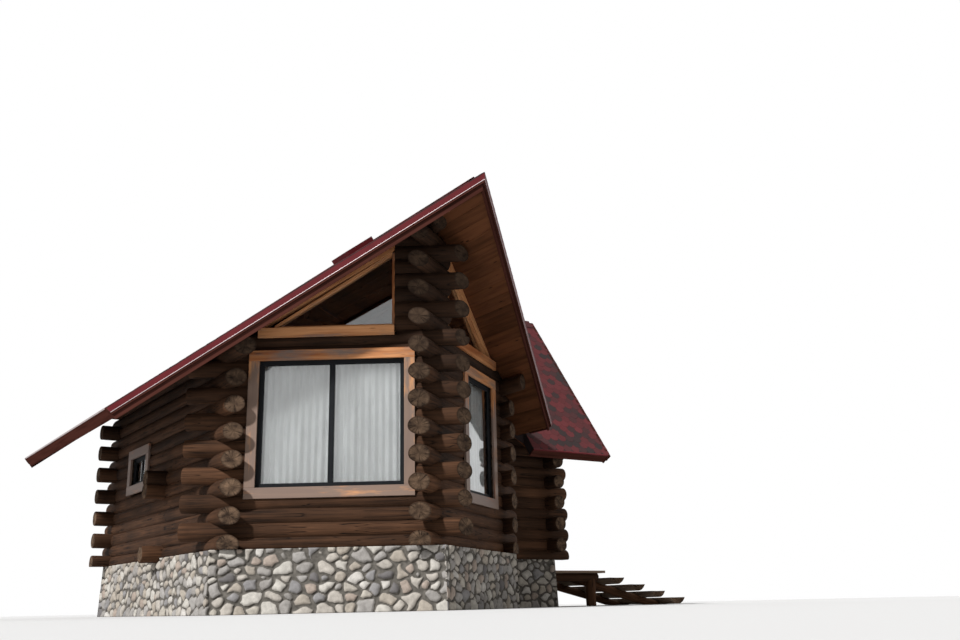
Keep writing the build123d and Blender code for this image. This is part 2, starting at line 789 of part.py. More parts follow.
def raking_beam(wall):
    """The beam under the roof, along the slanting top of a front wall."""
    near_s = from_corner(wall, stack_reach + seat_gap)
    far_s = from_corner(wall, gable_far - seat_gap)
    meet = (under_main(wall, from_corner(wall, 0)) - rake_beam_drop - gable_beam_top) / main_slope
    meet_s = from_corner(wall, meet * wall.length / half_width)
    sill = gable_beam_top + seat_gap
    lift = 4 * rake_beam_half
    points = [(near_s, under_main(wall, near_s) - rake_beam_drop), (near_s, under_main(wall, near_s) + lift),
              (far_s, under_main(wall, far_s) + lift), (far_s, sill), (meet_s, sill)]
    return wall.panel(points, (-rake_beam_half, rake_beam_half)) - main_sky


def gable_glass(wall):
    """The three-cornered pane between the sill beam and the raking beam."""
    near_s = from_corner(wall, stack_reach + 2 * seat_gap)
    meet = (under_main(wall, from_corner(wall, 0)) - rake_beam_drop - gable_beam_top) / main_slope
    meet_s = from_corner(wall, meet * wall.length / half_width - 2 * seat_gap)
    sill = gable_beam_top + seat_gap
    head = under_main(wall, near_s) - rake_beam_drop - 2 * seat_gap
    points = [(near_s, head), (near_s, sill), (meet_s, sill)]
    return wall.panel(points, (-gable_glass_half, gable_glass_half))


def curtain_rail(opening):
    """The rail across the head of a window."""
    top = opening.z1 - seat_gap
    return opening.wall.box((opening.s0 + seat_gap, opening.s1 - seat_gap),
                            (curtain_in - rail_half, curtain_in + rail_half), (top - rail_height, top))


def curtain_pair(opening):
    """Two drawn curtains below a rail."""
    top = opening.z1 - rail_height - 2 * seat_gap
    middle = (opening.s0 + opening.s1) / 2
    spans = [(opening.s0 + curtain_gap, middle - curtain_gap / 2),
             (middle + curtain_gap / 2, opening.s1 - curtain_gap)]
    return [opening.wall.box(s, (curtain_in - curtain_half, curtain_in + curtain_half),
                             (opening.z0 + curtain_clear, top)) for s in spans]


def door_frame():
    """Jambs, head and threshold in the wing's end wall."""
    outer = (doorway.s0 + seat_gap, doorway.s1 - seat_gap)
    inner = (doorway.s0 + door_frame_width, doorway.s1 - door_frame_width)
    depth = (-frame_out, -frame_in)
    body = wing_end.box(outer, depth, (plinth_height + seat_gap, door_head_z - seat_gap))
    return [body - wing_end.box(inner, (-2 * frame_out, 2 * frame_out),
                                (plinth_height + threshold_height, door_head_z - door_frame_width))]


def door():
    """The door leaf, shut."""
    inner = (doorway.s0 + door_frame_width + door_gap, doorway.s1 - door_frame_width - door_gap)
    middle = -(frame_out + frame_in) / 2
    return [wing_end.box(inner, (middle - door_thickness / 2, middle + door_thickness / 2),
                         (plinth_height + threshold_height + door_gap,
                          door_head_z - door_frame_width - door_gap))]


landing_low = landing_z - landing_board
landing_x = wing_end_x + plinth_out_wing + plinth_batter * (1 - landing_low / plinth_height) + seat_gap
landing_end_x = landing_x + landing_depth


def landing():
    """The boarded landing at the door."""
    body = Box(landing_depth, 2 * landing_half, landing_board,
               align=(Align.MIN, Align.CENTER, Align.MAX))
    return [Pos(landing_x, wing_middle_y, landing_z) * body]


def bearer(side, radius):
    """A log along under the landing."""
    bar = Cylinder(radius, landing_depth - bearer_inset, align=(Align.CENTER, Align.CENTER, Align.MIN))
    start = (landing_x, wing_middle_y + side * bearer_y, landing_low - bearer_radius + bearer_flat)
    return Plane(origin=start, z_dir=(1, 0, 0)) * bar


def landing_supports():
    """Two bearers, each on two posts. Their solids stand clear of each other by a hair."""
    deck = Pos(0, 0, landing_low - seat_gap) * Box(4 * far, 4 * far, far,
                                                   align=(Align.CENTER, Align.CENTER, Align.MIN))
    plinth = stone_plinth()[0]
    pieces = []
    for side in (-1, 1):
        pieces += carve(bearer(side, bearer_radius), [deck, plinth])
        for x in (landing_x + post_inset, landing_end_x - bearer_inset - post_inset):
            post = Cylinder(post_radius, landing_low, align=(Align.CENTER, Align.CENTER, Align.MIN))
            post = Pos(x, wing_middle_y + side * bearer_y, 0) * post
            upper = Pos(0, 0, landing_low - bearer_radius + bearer_flat) * Box(
                4 * far, 4 * far, far, align=(Align.CENTER, Align.CENTER, Align.MIN))
            pieces += carve(post, [bearer(side, bearer_radius + seat_gap), upper])
    return pieces


tread_rise = landing_z / (tread_count + 1)


def tread_x(n):
    """Where the middle of a tread lies."""
    return landing_end_x + tread_first + tread_going * n


def stringer(side, radius):
    """A sloping log under the treads, from the landing to the ground."""
    first_low = landing_z - tread_rise - tread_depth
    slope = tread_rise / tread_going
    lean = sqrt(1 + slope ** 2)
    length = 2 * (tread_count + 2) * tread_going
    middle = Vector(tread_x(0), wing_middle_y + side * stringer_y,
                    first_low - (stringer_radius - stringer_seat) * lean)
    bar = Cylinder(radius, length)
    return Plane(origin=middle, z_dir=(1, 0, -slope)) * bar


def entrance_steps():
    """Slabbed logs with the flat side up, notched over the stringers."""
    pieces = []
    for n in range(tread_count):
        top = landing_z - tread_rise * (n + 1)
        bar = Cylinder(tread_radius, 2 * tread_half)
        bar = Plane(origin=(tread_x(n), wing_middle_y, top + tread_radius - tread_depth),
                    z_dir=(0, 1, 0)) * bar
        upper = Pos(0, 0, top) * Box(4 * far, 4 * far, far, align=(Align.CENTER, Align.CENTER, Align.MIN))
        pieces += carve(bar, [upper] + [stringer(side, stringer_radius + seat_gap) for side in (-1, 1)])
    return pieces


def step_stringers():
    """The two stringers, sawn off at the ground and under the landing."""
    deck = Pos(0, 0, landing_low - seat_gap) * Box(4 * far, 4 * far, far,
                                                   align=(Align.CENTER, Align.CENTER, Align.MIN))
    below = Box(4 * far, 4 * far, far, align=(Align.CENTER, Align.CENTER, Align.MAX))
    past = Pos(tread_x(tread_count - 1) + stringer_past, 0, 0) * Box(
        far, 4 * far, far, align=(Align.MIN, Align.CENTER, Align.CENTER))
    return [piece for side in (-1, 1)
            for piece in carve(stringer(side, stringer_radius), [deck, below, past])]


def roof_window():
    """A low frame with a pane, flat on the left slope."""
    lean = cos(turn(main_pitch))
    place = Plane(origin=(-roof_window_x, roof_window_y, main_top(roof_window_x) + seat_gap),
                  x_dir=Vector(-lean, 0, -sin(turn(main_pitch))),
                  z_dir=Vector(-sin(turn(main_pitch)), 0, lean))
    align = (Align.CENTER, Align.CENTER, Align.MIN)
    body = Box(roof_window_length, roof_window_width, roof_window_height, align=align)
    hole = Box(roof_window_length - 2 * roof_window_edge, roof_window_width - 2 * roof_window_edge,
               roof_window_height, align=align)
    pane = Box(roof_window_length - 2 * roof_window_edge - 2 * seat_gap,
               roof_window_width - 2 * roof_window_edge - 2 * seat_gap, glass_thickness, align=align)
    return [place * (body - hole)], [place * Pos(0, 0, roof_window_height / 2) * pane]


def ridge_logs():
    """The two ridge logs. The wing's is scribed against the main one."""
    main_log = carve(ridge_log(log_radius), [main_sky, wing_sky])
    wing_log = carve(wing_ridge_log(wing_ridge_radius),
                     [main_sky, wing_sky, ridge_log(log_radius + seat_gap)])
    return main_log + [max(wing_log, key=lambda piece: piece.volume)]


def write(name, solids):
    """Writes one node."""
    shape = solids[0] if len(solids) == 1 else Compound(solids)
    export_step(shape, "parts/" + name + ".step")


os.makedirs("parts", exist_ok=True)
for node, solids in fit_logs().items():
    write(node, solids)
write("ridge_logs", ridge_logs())
write("stone_plinth", stone_plinth())
write("floor_boards", floor_boards())
write("main_roof_left", main_roof(-1))
write("main_roof_right", main_roof(1))
write("wing_roof_front", wing_roof(-1))
write("wing_roof_rear", wing_roof(1))
write("rake_fascias", rake_fascias())
write("rake_flashings", rake_flashings())
write("eave_fascias", eave_fascias())
write("ridge_caps", ridge_caps())
write("window_casings", [casing(opening) for opening, panes in windows])
write("window_frames", [window_frame(opening, panes) for opening, panes in windows])
write("window_glass", [pane for opening, panes in windows for pane in window_glass(opening, panes)])
write("gable_sills", [gable_sill(wall) for wall in prow_walls])
write("raking_beams", [raking_beam(wall) for wall in prow_walls])
write("gable_glass", [gable_glass(wall) for wall in prow_walls])
write("curtain_rails", [curtain_rail(opening) for opening in (prow_left_window, prow_right_window)])
write("curtains_left", curtain_pair(prow_left_window))
write("curtains_right", curtain_pair(prow_right_window))
write("door_frame", door_frame())
write("door", door())
write("door_casing", [casing(doorway)])
write("landing", landing())
write("landing_supports", landing_supports())
write("entrance_steps", entrance_steps())
write("step_stringers", step_stringers())
roof_window_frame, roof_window_glass = roof_window()
write("roof_window_frame", roof_window_frame)
write("roof_window_glass", roof_window_glass)
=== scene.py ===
"""Shows the log cabin: logs, fieldstones, shingles, boards, windows, curtains and steps."""
import math

import bpy
import numpy as np
from mathutils import Matrix


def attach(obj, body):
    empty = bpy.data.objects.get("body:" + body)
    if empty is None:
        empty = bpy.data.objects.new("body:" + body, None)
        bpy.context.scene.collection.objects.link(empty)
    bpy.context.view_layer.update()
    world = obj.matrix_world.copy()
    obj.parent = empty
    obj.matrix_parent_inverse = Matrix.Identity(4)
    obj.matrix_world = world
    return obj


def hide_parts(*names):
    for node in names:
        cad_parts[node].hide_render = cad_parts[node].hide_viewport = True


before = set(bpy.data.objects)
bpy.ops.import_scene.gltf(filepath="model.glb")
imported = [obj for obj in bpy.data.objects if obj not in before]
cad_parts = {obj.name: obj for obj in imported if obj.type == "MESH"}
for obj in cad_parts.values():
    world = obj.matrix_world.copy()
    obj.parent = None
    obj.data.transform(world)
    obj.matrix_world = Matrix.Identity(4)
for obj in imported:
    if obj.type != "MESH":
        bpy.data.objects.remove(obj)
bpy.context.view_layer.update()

bl_info = {
    "name": "Log cabin",
    "version": (1, 0, 0),
    "blender": (4, 5, 0),
    "location": "View3D > Sidebar > Log cabin",
    "description": "Builds a log cabin over its solid model, piece by piece",
    "category": "Object",
}

# Plan and heights, in metres, as in the solid model.
HALF_WIDTH = 2.63
PROW_DEPTH = 1.905
BACK_Y = 7.42
WING_END_X = 4.9
WING_MID_Y = 4.778
WING_HALF = 1.353
PLINTH_TOP = 0.924
LOG_RADIUS = 0.14
COURSE = 0.21
GABLE_COURSE = 0.235
FIRST_Z = 0.99
WALL_COURSES = 15
STACK_COURSES = 23
BUTT_INSET = 0.07
CORNER_STUB = 0.45
PROW_STUB = 0.5
FLARE_STUB = 0.56
PLATE_STUB = 0.8
INNER_STUB = 0.19
CLEARANCE = 0.0003
ROOF_ANGLE = math.radians(38.1)
MAIN_SLOPE = math.tan(ROOF_ANGLE)
PLATE_Z = FIRST_Z + COURSE * (WALL_COURSES - 1)
ROOF_THICK = 0.19
ROOF_SEAT = 0.135
MAIN_DROP = ROOF_THICK / math.cos(ROOF_ANGLE)
RIDGE_Z = PLATE_Z + HALF_WIDTH * MAIN_SLOPE + (ROOF_SEAT + ROOF_THICK) / math.cos(ROOF_ANGLE)
WING_RISE = RIDGE_Z - PLATE_Z
WING_SEAT = ROOF_SEAT + ROOF_THICK
WING_SLOPE = (WING_RISE * WING_HALF - WING_SEAT * math.sqrt(
    WING_RISE ** 2 + WING_HALF ** 2 - WING_SEAT ** 2)) / (WING_HALF ** 2 - WING_SEAT ** 2)
WING_DROP = ROOF_THICK * math.sqrt(1 + WING_SLOPE ** 2)
TIP_Y = -1.465
RAKE_TURN = math.radians(41.2)
RAKE_SLOPE = math.tan(RAKE_TURN)
LEFT_EAVE = 4.3
RIGHT_EAVE = 3.8
REAR_OVERHANG = 0.63
REAR_Y = BACK_Y + REAR_OVERHANG
WING_EAVE = 2.42
WING_OVERHANG = 0.81
WING_RAKE_X = WING_END_X + WING_OVERHANG
VALLEY = MAIN_SLOPE / WING_SLOPE
CROSS_WALL_Y = 4.25
CROSS_INSIDE = 0.19
CROSS_COURSES = (0, 5, 6)

# Heights between which rain has bleached the casings, from the top down, and between
# which painted shade, for the shadow under the roof's overhang, darkens the logs, from the foot up.
WORN_HEIGHTS = (4.3, 3.0)
PAINTED_SHADE_HEIGHTS = (2.0, 4.2)


# Numbers to surfaces


def unit(v):
    """A vector, or each row of an array, at length one."""
    v = np.asarray(v, float)
    return v / np.linalg.norm(v, axis=-1, keepdims=True)


def grid_quads(rows, cols, close_rows=False, close_cols=False):
    """Quads of a grid whose vertices run row by row, closed on itself where asked."""
    r = np.arange(rows if close_rows else rows - 1)
    c = np.arange(cols if close_cols else cols - 1)
    r, c = np.meshgrid(r, c, indexing="ij")
    r1, c1 = (r + 1) % rows, (c + 1) % cols
    return np.stack([r * cols + c, r * cols + c1, r1 * cols + c1, r1 * cols + c], -1).reshape(-1, 4)


class Surface:
    """Gathers patches of a piece: points, quads, grain coordinates, a tone and a finish."""

    def __init__(self):
        self.points, self.quads, self.grain, self.tone, self.finish = [], [], [], [], []
        self.count = 0

    def add(self, points, quads, grain, tone, finish=0):
        """Adds one patch. Grain is along, across and a number of its own, for the finish."""
        points = np.asarray(points, float).reshape(-1, 3)
        self.points.append(points)
        self.quads.append(np.asarray(quads, int).reshape(-1, 4) + self.count)
        self.grain.append(np.broadcast_to(np.asarray(grain, float), (len(points), 3)))
        self.tone.append(np.broadcast_to(np.asarray(tone, float), (len(points),)))
        self.finish.append(np.full(len(self.quads[-1]), finish))
        self.count += len(points)

    def build(self, name, materials, replaces=(), smooth=True, bevel=0.0):
        """Makes the object from all the patches and lets it ride on the body."""
        points = np.concatenate(self.points).astype(np.float32)
        quads = np.concatenate(self.quads).astype(np.int32)
        mesh = bpy.data.meshes.new(name)
        mesh.vertices.add(len(points))
        mesh.vertices.foreach_set("co", points.ravel())
        mesh.loops.add(quads.size)
        mesh.loops.foreach_set("vertex_index", quads.ravel())
        mesh.polygons.add(len(quads))
        mesh.polygons.foreach_set("loop_start", np.arange(0, quads.size, 4, dtype=np.int32))
        mesh.polygons.foreach_set("material_index", np.concatenate(self.finish).astype(np.int32))
        mesh.polygons.foreach_set("use_smooth", np.full(len(quads), smooth))
        grain = mesh.attributes.new("grain", "FLOAT_VECTOR", "POINT")
        grain.data.foreach_set("vector", np.concatenate(self.grain).astype(np.float32).ravel())
        tone = mesh.attributes.new("tone", "FLOAT", "POINT")
        tone.data.foreach_set("value", np.concatenate(self.tone).astype(np.float32))
        mesh.update(calc_edges=True)
        mesh.validate()
        piece = bpy.data.objects.new(name, mesh)
        bpy.context.scene.collection.objects.link(piece)
        for material in materials:
            mesh.materials.append(material)
        if bevel:
            soften = piece.modifiers.new("Edges", "BEVEL")
            soften.width = bevel
            soften.segments = 2
            soften.limit_method = "ANGLE"
            soften.harden_normals = False
        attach(piece, "root")
        if replaces:
            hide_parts(*replaces)
        return piece


BOX_FACES = [(0, 1, 5, 4), (1, 2, 6, 5), (2, 3, 7, 6), (3, 0, 4, 7), (3, 2, 1, 0), (4, 5, 6, 7)]


def bar(surface, corners, rng, finish=0):
    """A straight-sided timber from its four start corners and four end corners, in the
    same turn. The grain runs from start to end."""
    a = np.asarray(corners, float).reshape(2, 4, 3)
    along = unit(a[1].mean(0) - a[0].mean(0))
    side = a[0, 1] - a[0, 0]
    side = unit(side - (side @ along) * along)
    up = np.cross(along, side)
    start = a[0].mean(0)
    shift = rng.uniform(0, 50, 3)
    tone = rng.uniform(0, 1)
    flat = a.reshape(8, 3)
    centre = flat.mean(0)
    quads = []
    for face in BOX_FACES:
        p = flat[list(face)]
        normal = np.cross(p[1] - p[0], p[2] - p[0]) + np.cross(p[2] - p[0], p[3] - p[0])
        if np.dot(normal, p.mean(0) - centre) < 0:
            face = face[::-1]
        quads.append(face)
    offset = flat - start
    grain = np.stack([offset @ along, offset @ side + (offset @ up) * 1.3, np.zeros(8)], -1) + shift
    surface.add(flat, quads, grain, tone, finish)


def block(surface, low, high, rng, axis=0, place=None, finish=0):
    """A squared timber between two corners, with its grain along one axis. Place turns
    the wall's own coordinates into the room's."""
    low, high = np.asarray(low, float), np.asarray(high, float)
    b, c = [n for n in range(3) if n != axis]
    corners = []
    for end in (low, high):
        for vb, vc in ((low[b], low[c]), (high[b], low[c]), (high[b], high[c]), (low[b], high[c])):
            p = np.zeros(3)
            p[axis], p[b], p[c] = end[axis], vb, vc
            corners.append(p)
    corners = np.array(corners)
    bar(surface, place(corners) if place else corners, rng, finish)


# Walls


class Wall:
    """A log wall between two corners in plan. Inside is on its left."""

    def __init__(self, start, end):
        self.start = np.array([*start, 0.0])
        end = np.array([*end, 0.0])
        self.length = float(np.linalg.norm(end - self.start))
        self.along = (end - self.start) / self.length
        self.inward = np.array([-self.along[1], self.along[0], 0.0])

    def at(self, p):
        """Points along, inwards and up the wall, turned into the shared frame."""
        p = np.asarray(p, float)
        return (self.start + p[..., :1] * self.along + p[..., 1:2] * self.inward
                + p[..., 2:] * np.array([0.0, 0.0, 1.0]))


# Corners of the plan, run anticlockwise from the front one.
C, D, B = (0.0, 0.0), (HALF_WIDTH, PROW_DEPTH), (-HALF_WIDTH, PROW_DEPTH)
A, R = (-HALF_WIDTH, BACK_Y), (HALF_WIDTH, BACK_Y)
F, G = (HALF_WIDTH, WING_MID_Y - WING_HALF), (HALF_WIDTH, WING_MID_Y + WING_HALF)
E, H = (WING_END_X, F[1]), (WING_END_X, G[1])
PROW_RIGHT = Wall(C, D)
RIGHT_FRONT = Wall(D, F)
WING_FRONT = Wall(F, E)
WING_END = Wall(E, H)
WING_REAR = Wall(H, G)
RIGHT_REAR = Wall(G, R)
BACK = Wall(R, A)
LEFT_SIDE = Wall(A, B)
PROW_LEFT = Wall(B, C)
CROSS_WALL = Wall((0.0, CROSS_WALL_Y), (-HALF_WIDTH, CROSS_WALL_Y))
HOUSE = [C, D, F, E, H, G, R, A, B]
CUT_TURN = math.radians(15)

# For each corner: the wall before, the wall after, the one of them that runs past on even
# courses, how far each runs past, which way each saw cut faces, and the plate log's stub.
CORNERS = [
    (PROW_LEFT, PROW_RIGHT, PROW_RIGHT, (PROW_STUB, PROW_STUB),
     ((math.sin(CUT_TURN), -math.cos(CUT_TURN)), (-math.sin(CUT_TURN), -math.cos(CUT_TURN))), None),
    (PROW_RIGHT, RIGHT_FRONT, RIGHT_FRONT, (FLARE_STUB, CORNER_STUB),
     (None, -PROW_RIGHT.inward[:2]), PLATE_STUB),
    (RIGHT_FRONT, WING_FRONT, WING_FRONT, (INNER_STUB, INNER_STUB), (None, None), None),
    (WING_FRONT, WING_END, WING_FRONT, (CORNER_STUB, CORNER_STUB), (None, None), None),
    (WING_END, WING_REAR, WING_REAR, (CORNER_STUB, CORNER_STUB), (None, None), None),
    (WING_REAR, RIGHT_REAR, WING_REAR, (INNER_STUB, INNER_STUB), (None, None), None),
    (RIGHT_REAR, BACK, BACK, (CORNER_STUB, CORNER_STUB), (None, None), None),
    (BACK, LEFT_SIDE, BACK, (CORNER_STUB, CORNER_STUB), (None, None), None),
    (LEFT_SIDE, PROW_LEFT, LEFT_SIDE, (CORNER_STUB, FLARE_STUB),
     (-PROW_LEFT.inward[:2], None), PLATE_STUB),
]

PROW_LENGTH = PROW_LEFT.length
FRONT_FOOT, FRONT_HEAD = 1.787, 3.844
SMALL_FOOT, SMALL_HEAD = 2.29, 2.88
SMALL_HALF = 0.505
SMALL_Y = 5.775
DOOR_HALF = 0.47
DOOR_HEAD = 3.03

# Wall, start, end, foot, head and number of panes of each window. The doorway has none.
WINDOWS = [
    (PROW_LEFT, PROW_LENGTH - 2.72, PROW_LENGTH - 0.369, FRONT_FOOT, FRONT_HEAD, 2),
    (PROW_RIGHT, 1.19, 2.54, FRONT_FOOT, FRONT_HEAD, 1),
    (LEFT_SIDE, BACK_Y - SMALL_Y - SMALL_HALF, BACK_Y - SMALL_Y + SMALL_HALF, SMALL_FOOT, SMALL_HEAD, 2),
    (BACK, HALF_WIDTH - SMALL_HALF, HALF_WIDTH + SMALL_HALF, SMALL_FOOT, SMALL_HEAD, 2),
]
DOORWAY = (WING_END, WING_HALF - DOOR_HALF, WING_HALF + DOOR_HALF, PLINTH_TOP, DOOR_HEAD, 0)
GABLE_SILL_Z = 4.17
GABLE_NEAR = 0.57
GABLE_FAR = 2.72
GABLE_REACH = 0.4


def course_z(k):
    """Height of the middle of log number k."""
    return FIRST_Z + COURSE * min(k, WALL_COURSES) + GABLE_COURSE * max(0, k - WALL_COURSES)


def under_roof(x, y):
    """Height of the roof's underside over points in plan."""
    dy = np.abs(y - WING_MID_Y)
    main = RIDGE_Z - MAIN_DROP - MAIN_SLOPE * np.abs(x)
    wing = RIDGE_Z - WING_DROP - WING_SLOPE * dy
    reach = np.where(x < RIGHT_EAVE, VALLEY * x, WING_EAVE)
    return np.where((x > 0) & (dy < reach), wing, main)


def end_of(wall, k, at_end):
    """How far log k runs past a corner, and the direction its sawn end faces."""
    for before, after, even, stubs, cuts, plate in CORNERS:
        if (before if at_end else after) is wall:
            other = after if even is before else before
            winner = even if k % 2 == 0 else other
            if winner is not wall:
                return -BUTT_INSET, None
            n = 0 if wall is before else 1
            stub = plate if plate and k == WALL_COURSES - 1 else stubs[n]
            return stub, cuts[n]


def wall_logs(wall):
    """(course, start, end, cut at start, cut at end) of each log of a wall."""
    found = []
    top = WALL_COURSES
    if wall in (PROW_LEFT, PROW_RIGHT, BACK):
        top = STACK_COURSES
    if wall is WING_END:
        top = STACK_COURSES - 1
    for k in range(top):
        back, cut0 = end_of(wall, k, False)
        on, cut1 = end_of(wall, k, True)
        s0, s1 = -back, wall.length + on
        if k > WALL_COURSES and wall is PROW_LEFT:
            s0, cut0 = wall.length - GABLE_NEAR, None
        if k > WALL_COURSES and wall is PROW_RIGHT:
            s1, cut1 = GABLE_NEAR, None
        if k >= WALL_COURSES and wall in (BACK, WING_END):
            s0, s1, cut0, cut1 = -GABLE_REACH, wall.length + GABLE_REACH, None, None
        found.append((k, s0, s1, cut0, cut1))
    return found


def clear_of_openings(wall, z, s0, s1):
    """The stretches of a log that the windows and the door leave."""
    spans = [(s0, s1)]
    bite = 0.6 * LOG_RADIUS
    for other, a, b, low, high, _ in WINDOWS + [DOORWAY]:
        if other is wall and z + bite > low and z - bite < high:
            parts = [part for s, e in spans for part in ((s, min(e, a)), (max(s, b), e))]
            spans = [(p, q) for p, q in parts if q - p > 0.05]
    return spans


# Swell of a log's radius: its share of the radius, its waves round the log and its
# waves for each metre along it.
SWELLS = ((0.012, 0, 2.1), (0.016, 2, 0.3), (0.007, 3, -0.9), (0.006, 5, 2.3))

# A knot's rise, length and width; the rings' spacing and points; how far from its end a log
# begins to round off, by what factor it is drawn in there and how far its face bulges; the
# rings over that face; how far in the rings lean over to a saw cut; and the most it tapers.
KNOT_RISE, KNOT_LONG, KNOT_WIDE = 0.009, 0.09, 0.06
RING_SPACING = 0.11
RING_POINTS = 26
END_ROUND, END_DRAWN, END_BULGE = 0.012, 0.955, 0.004
END_RINGS = np.array([1.0, 0.9, 0.68, 0.42, 0.18, 0.0])
CUT_REACH = 0.4
TAPER = 0.02


def log_surface(surface, start, along, length, radius, rng, cuts=(None, None), limit=None):
    """A log: rings round a gently wandering line. The radius is a sum of low waves round
    and along the log, with a few humps for knots, and is drawn in at the ends. Each end is
    a slightly swollen disc, and near it the rings lean over until they are square to the
    saw cut. Limit takes the points and holds them in bounds."""
    along = unit(along)
    side = unit(np.cross([0.0, 0.0, 1.0], along)) if abs(along[2]) < 0.9 else np.array([1.0, 0.0, 0.0])
    up = np.cross(along, side)
    rings = max(6, int(length / RING_SPACING))
    s = np.linspace(END_ROUND, length - END_ROUND, rings)
    s = np.concatenate([[0.0], s, [length]])
    angle = np.linspace(0, 2 * np.pi, RING_POINTS, endpoint=False)
    phase = rng.uniform(0, 2 * np.pi, 8)
    S, T = np.meshgrid(s, angle, indexing="ij")
    r = radius * (1 + sum(share * np.sin(turns * T + waves * S + at)
                          for (share, turns, waves), at in zip(SWELLS, phase)))
    for _ in range(rng.integers(1, 4)):
        knot_s, knot_t = rng.uniform(0, length), rng.uniform(0, 2 * np.pi)
        gap = np.abs((T - knot_t + np.pi) % (2 * np.pi) - np.pi) * radius
        r = r + KNOT_RISE * np.exp(-((S - knot_s) / KNOT_LONG) ** 2 - (gap / KNOT_WIDE) ** 2)
    r[0] *= END_DRAWN
    r[-1] *= END_DRAWN
    taper = 1 + rng.uniform(-TAPER, TAPER) * (2 * S / length - 1)
    r = r * taper
    bend = S * np.pi / max(length, 0.5)
    a = r * np.cos(T) + 0.005 * np.sin(bend * 1.5 + phase[4])
    b = r * np.sin(T) + 0.004 * np.sin(bend * 2.2 + phase[5])
    shear = np.zeros_like(S)
    for end, cut in ((0, cuts[0]), (1, cuts[1])):
        if cut is None:
            continue
        normal = unit([cut[0], cut[1], 0.0])
        lean = -(a * (side @ normal)) / (along @ normal)
        near_end = S if end == 0 else length - S
        shear += lean * np.clip(1 - near_end / CUT_REACH, 0, 1)
    place = S + shear
    points = start + place[..., None] * along + a[..., None] * side + b[..., None] * up
    if limit is not None:
        points = limit(points)
    number = rng.uniform(0, 100)
    tone = rng.uniform(0, 1)
    # The grain is folded on the far half, so that it meets itself at the seam.
    grain = np.stack([place, radius * np.minimum(T, 2 * np.pi - T), np.full_like(S, number)], -1)
    surface.add(points, grid_quads(len(s), RING_POINTS, close_cols=True), grain.reshape(-1, 3), tone)
    rho = END_RINGS
    for ring, flip in ((points[0], False), (points[-1], True)):
        centre = ring.mean(0)
        rough = 1 + rng.uniform(-0.012, 0.012, (len(rho), RING_POINTS))
        rough[0] = 1.0
        disc = centre + (ring - centre) * (rho[:, None] * rough)[..., None]
        out = along if flip else -along
        disc = disc + out * (END_BULGE * (1 - rho ** 2))[:, None, None]
        if limit is not None:
            disc = limit(disc)
        flat = np.stack([rho[:, None] * np.cos(angle), rho[:, None] * np.sin(angle),
                         np.full((len(rho), RING_POINTS), number)], -1)
        quads = grid_quads(len(rho), RING_POINTS, close_cols=True)
        surface.add(disc, quads if flip else quads[:, ::-1], flat.reshape(-1, 3), tone, 1)


# Finishes


# Colours of what no setting changes, and the share by which painted shade darkens a log
# high under the roof. Each stone colour comes with the stone number from which it holds.
LOG_CRACK = (0.006, 0.004, 0.003)
END_CRACK = (0.008, 0.006, 0.005)
PAINTED_SHADE_SHARE = 0.6
BLEACHED_WOOD = (0.158, 0.134, 0.122)
STONE_DIRT = (0.05, 0.045, 0.04)
STONE_COLOURS = [
    (0.0, (0.50, 0.46, 0.41)), (0.14, (0.35, 0.33, 0.31)), (0.27, (0.44, 0.39, 0.33)),
    (0.40, (0.57, 0.54, 0.49)), (0.53, (0.29, 0.28, 0.28)), (0.60, (0.40, 0.33, 0.28)),
    (0.68, (0.39, 0.37, 0.35)), (0.80, (0.50, 0.46, 0.40)), (0.93, (0.17, 0.16, 0.16)),
    (0.96, (0.61, 0.58, 0.54))]
CLOTH_SHADE, CLOTH_LIGHT = (0.62, 0.62, 0.60), (0.80, 0.80, 0.78)
DECK_LIGHT, DECK_DARK = (0.36, 0.24, 0.15), (0.14, 0.085, 0.05)
FLOOR_LIGHT, FLOOR_DARK = (0.42, 0.25, 0.13), (0.22, 0.11, 0.05)
STEEL_GREY = (0.55, 0.55, 0.55)


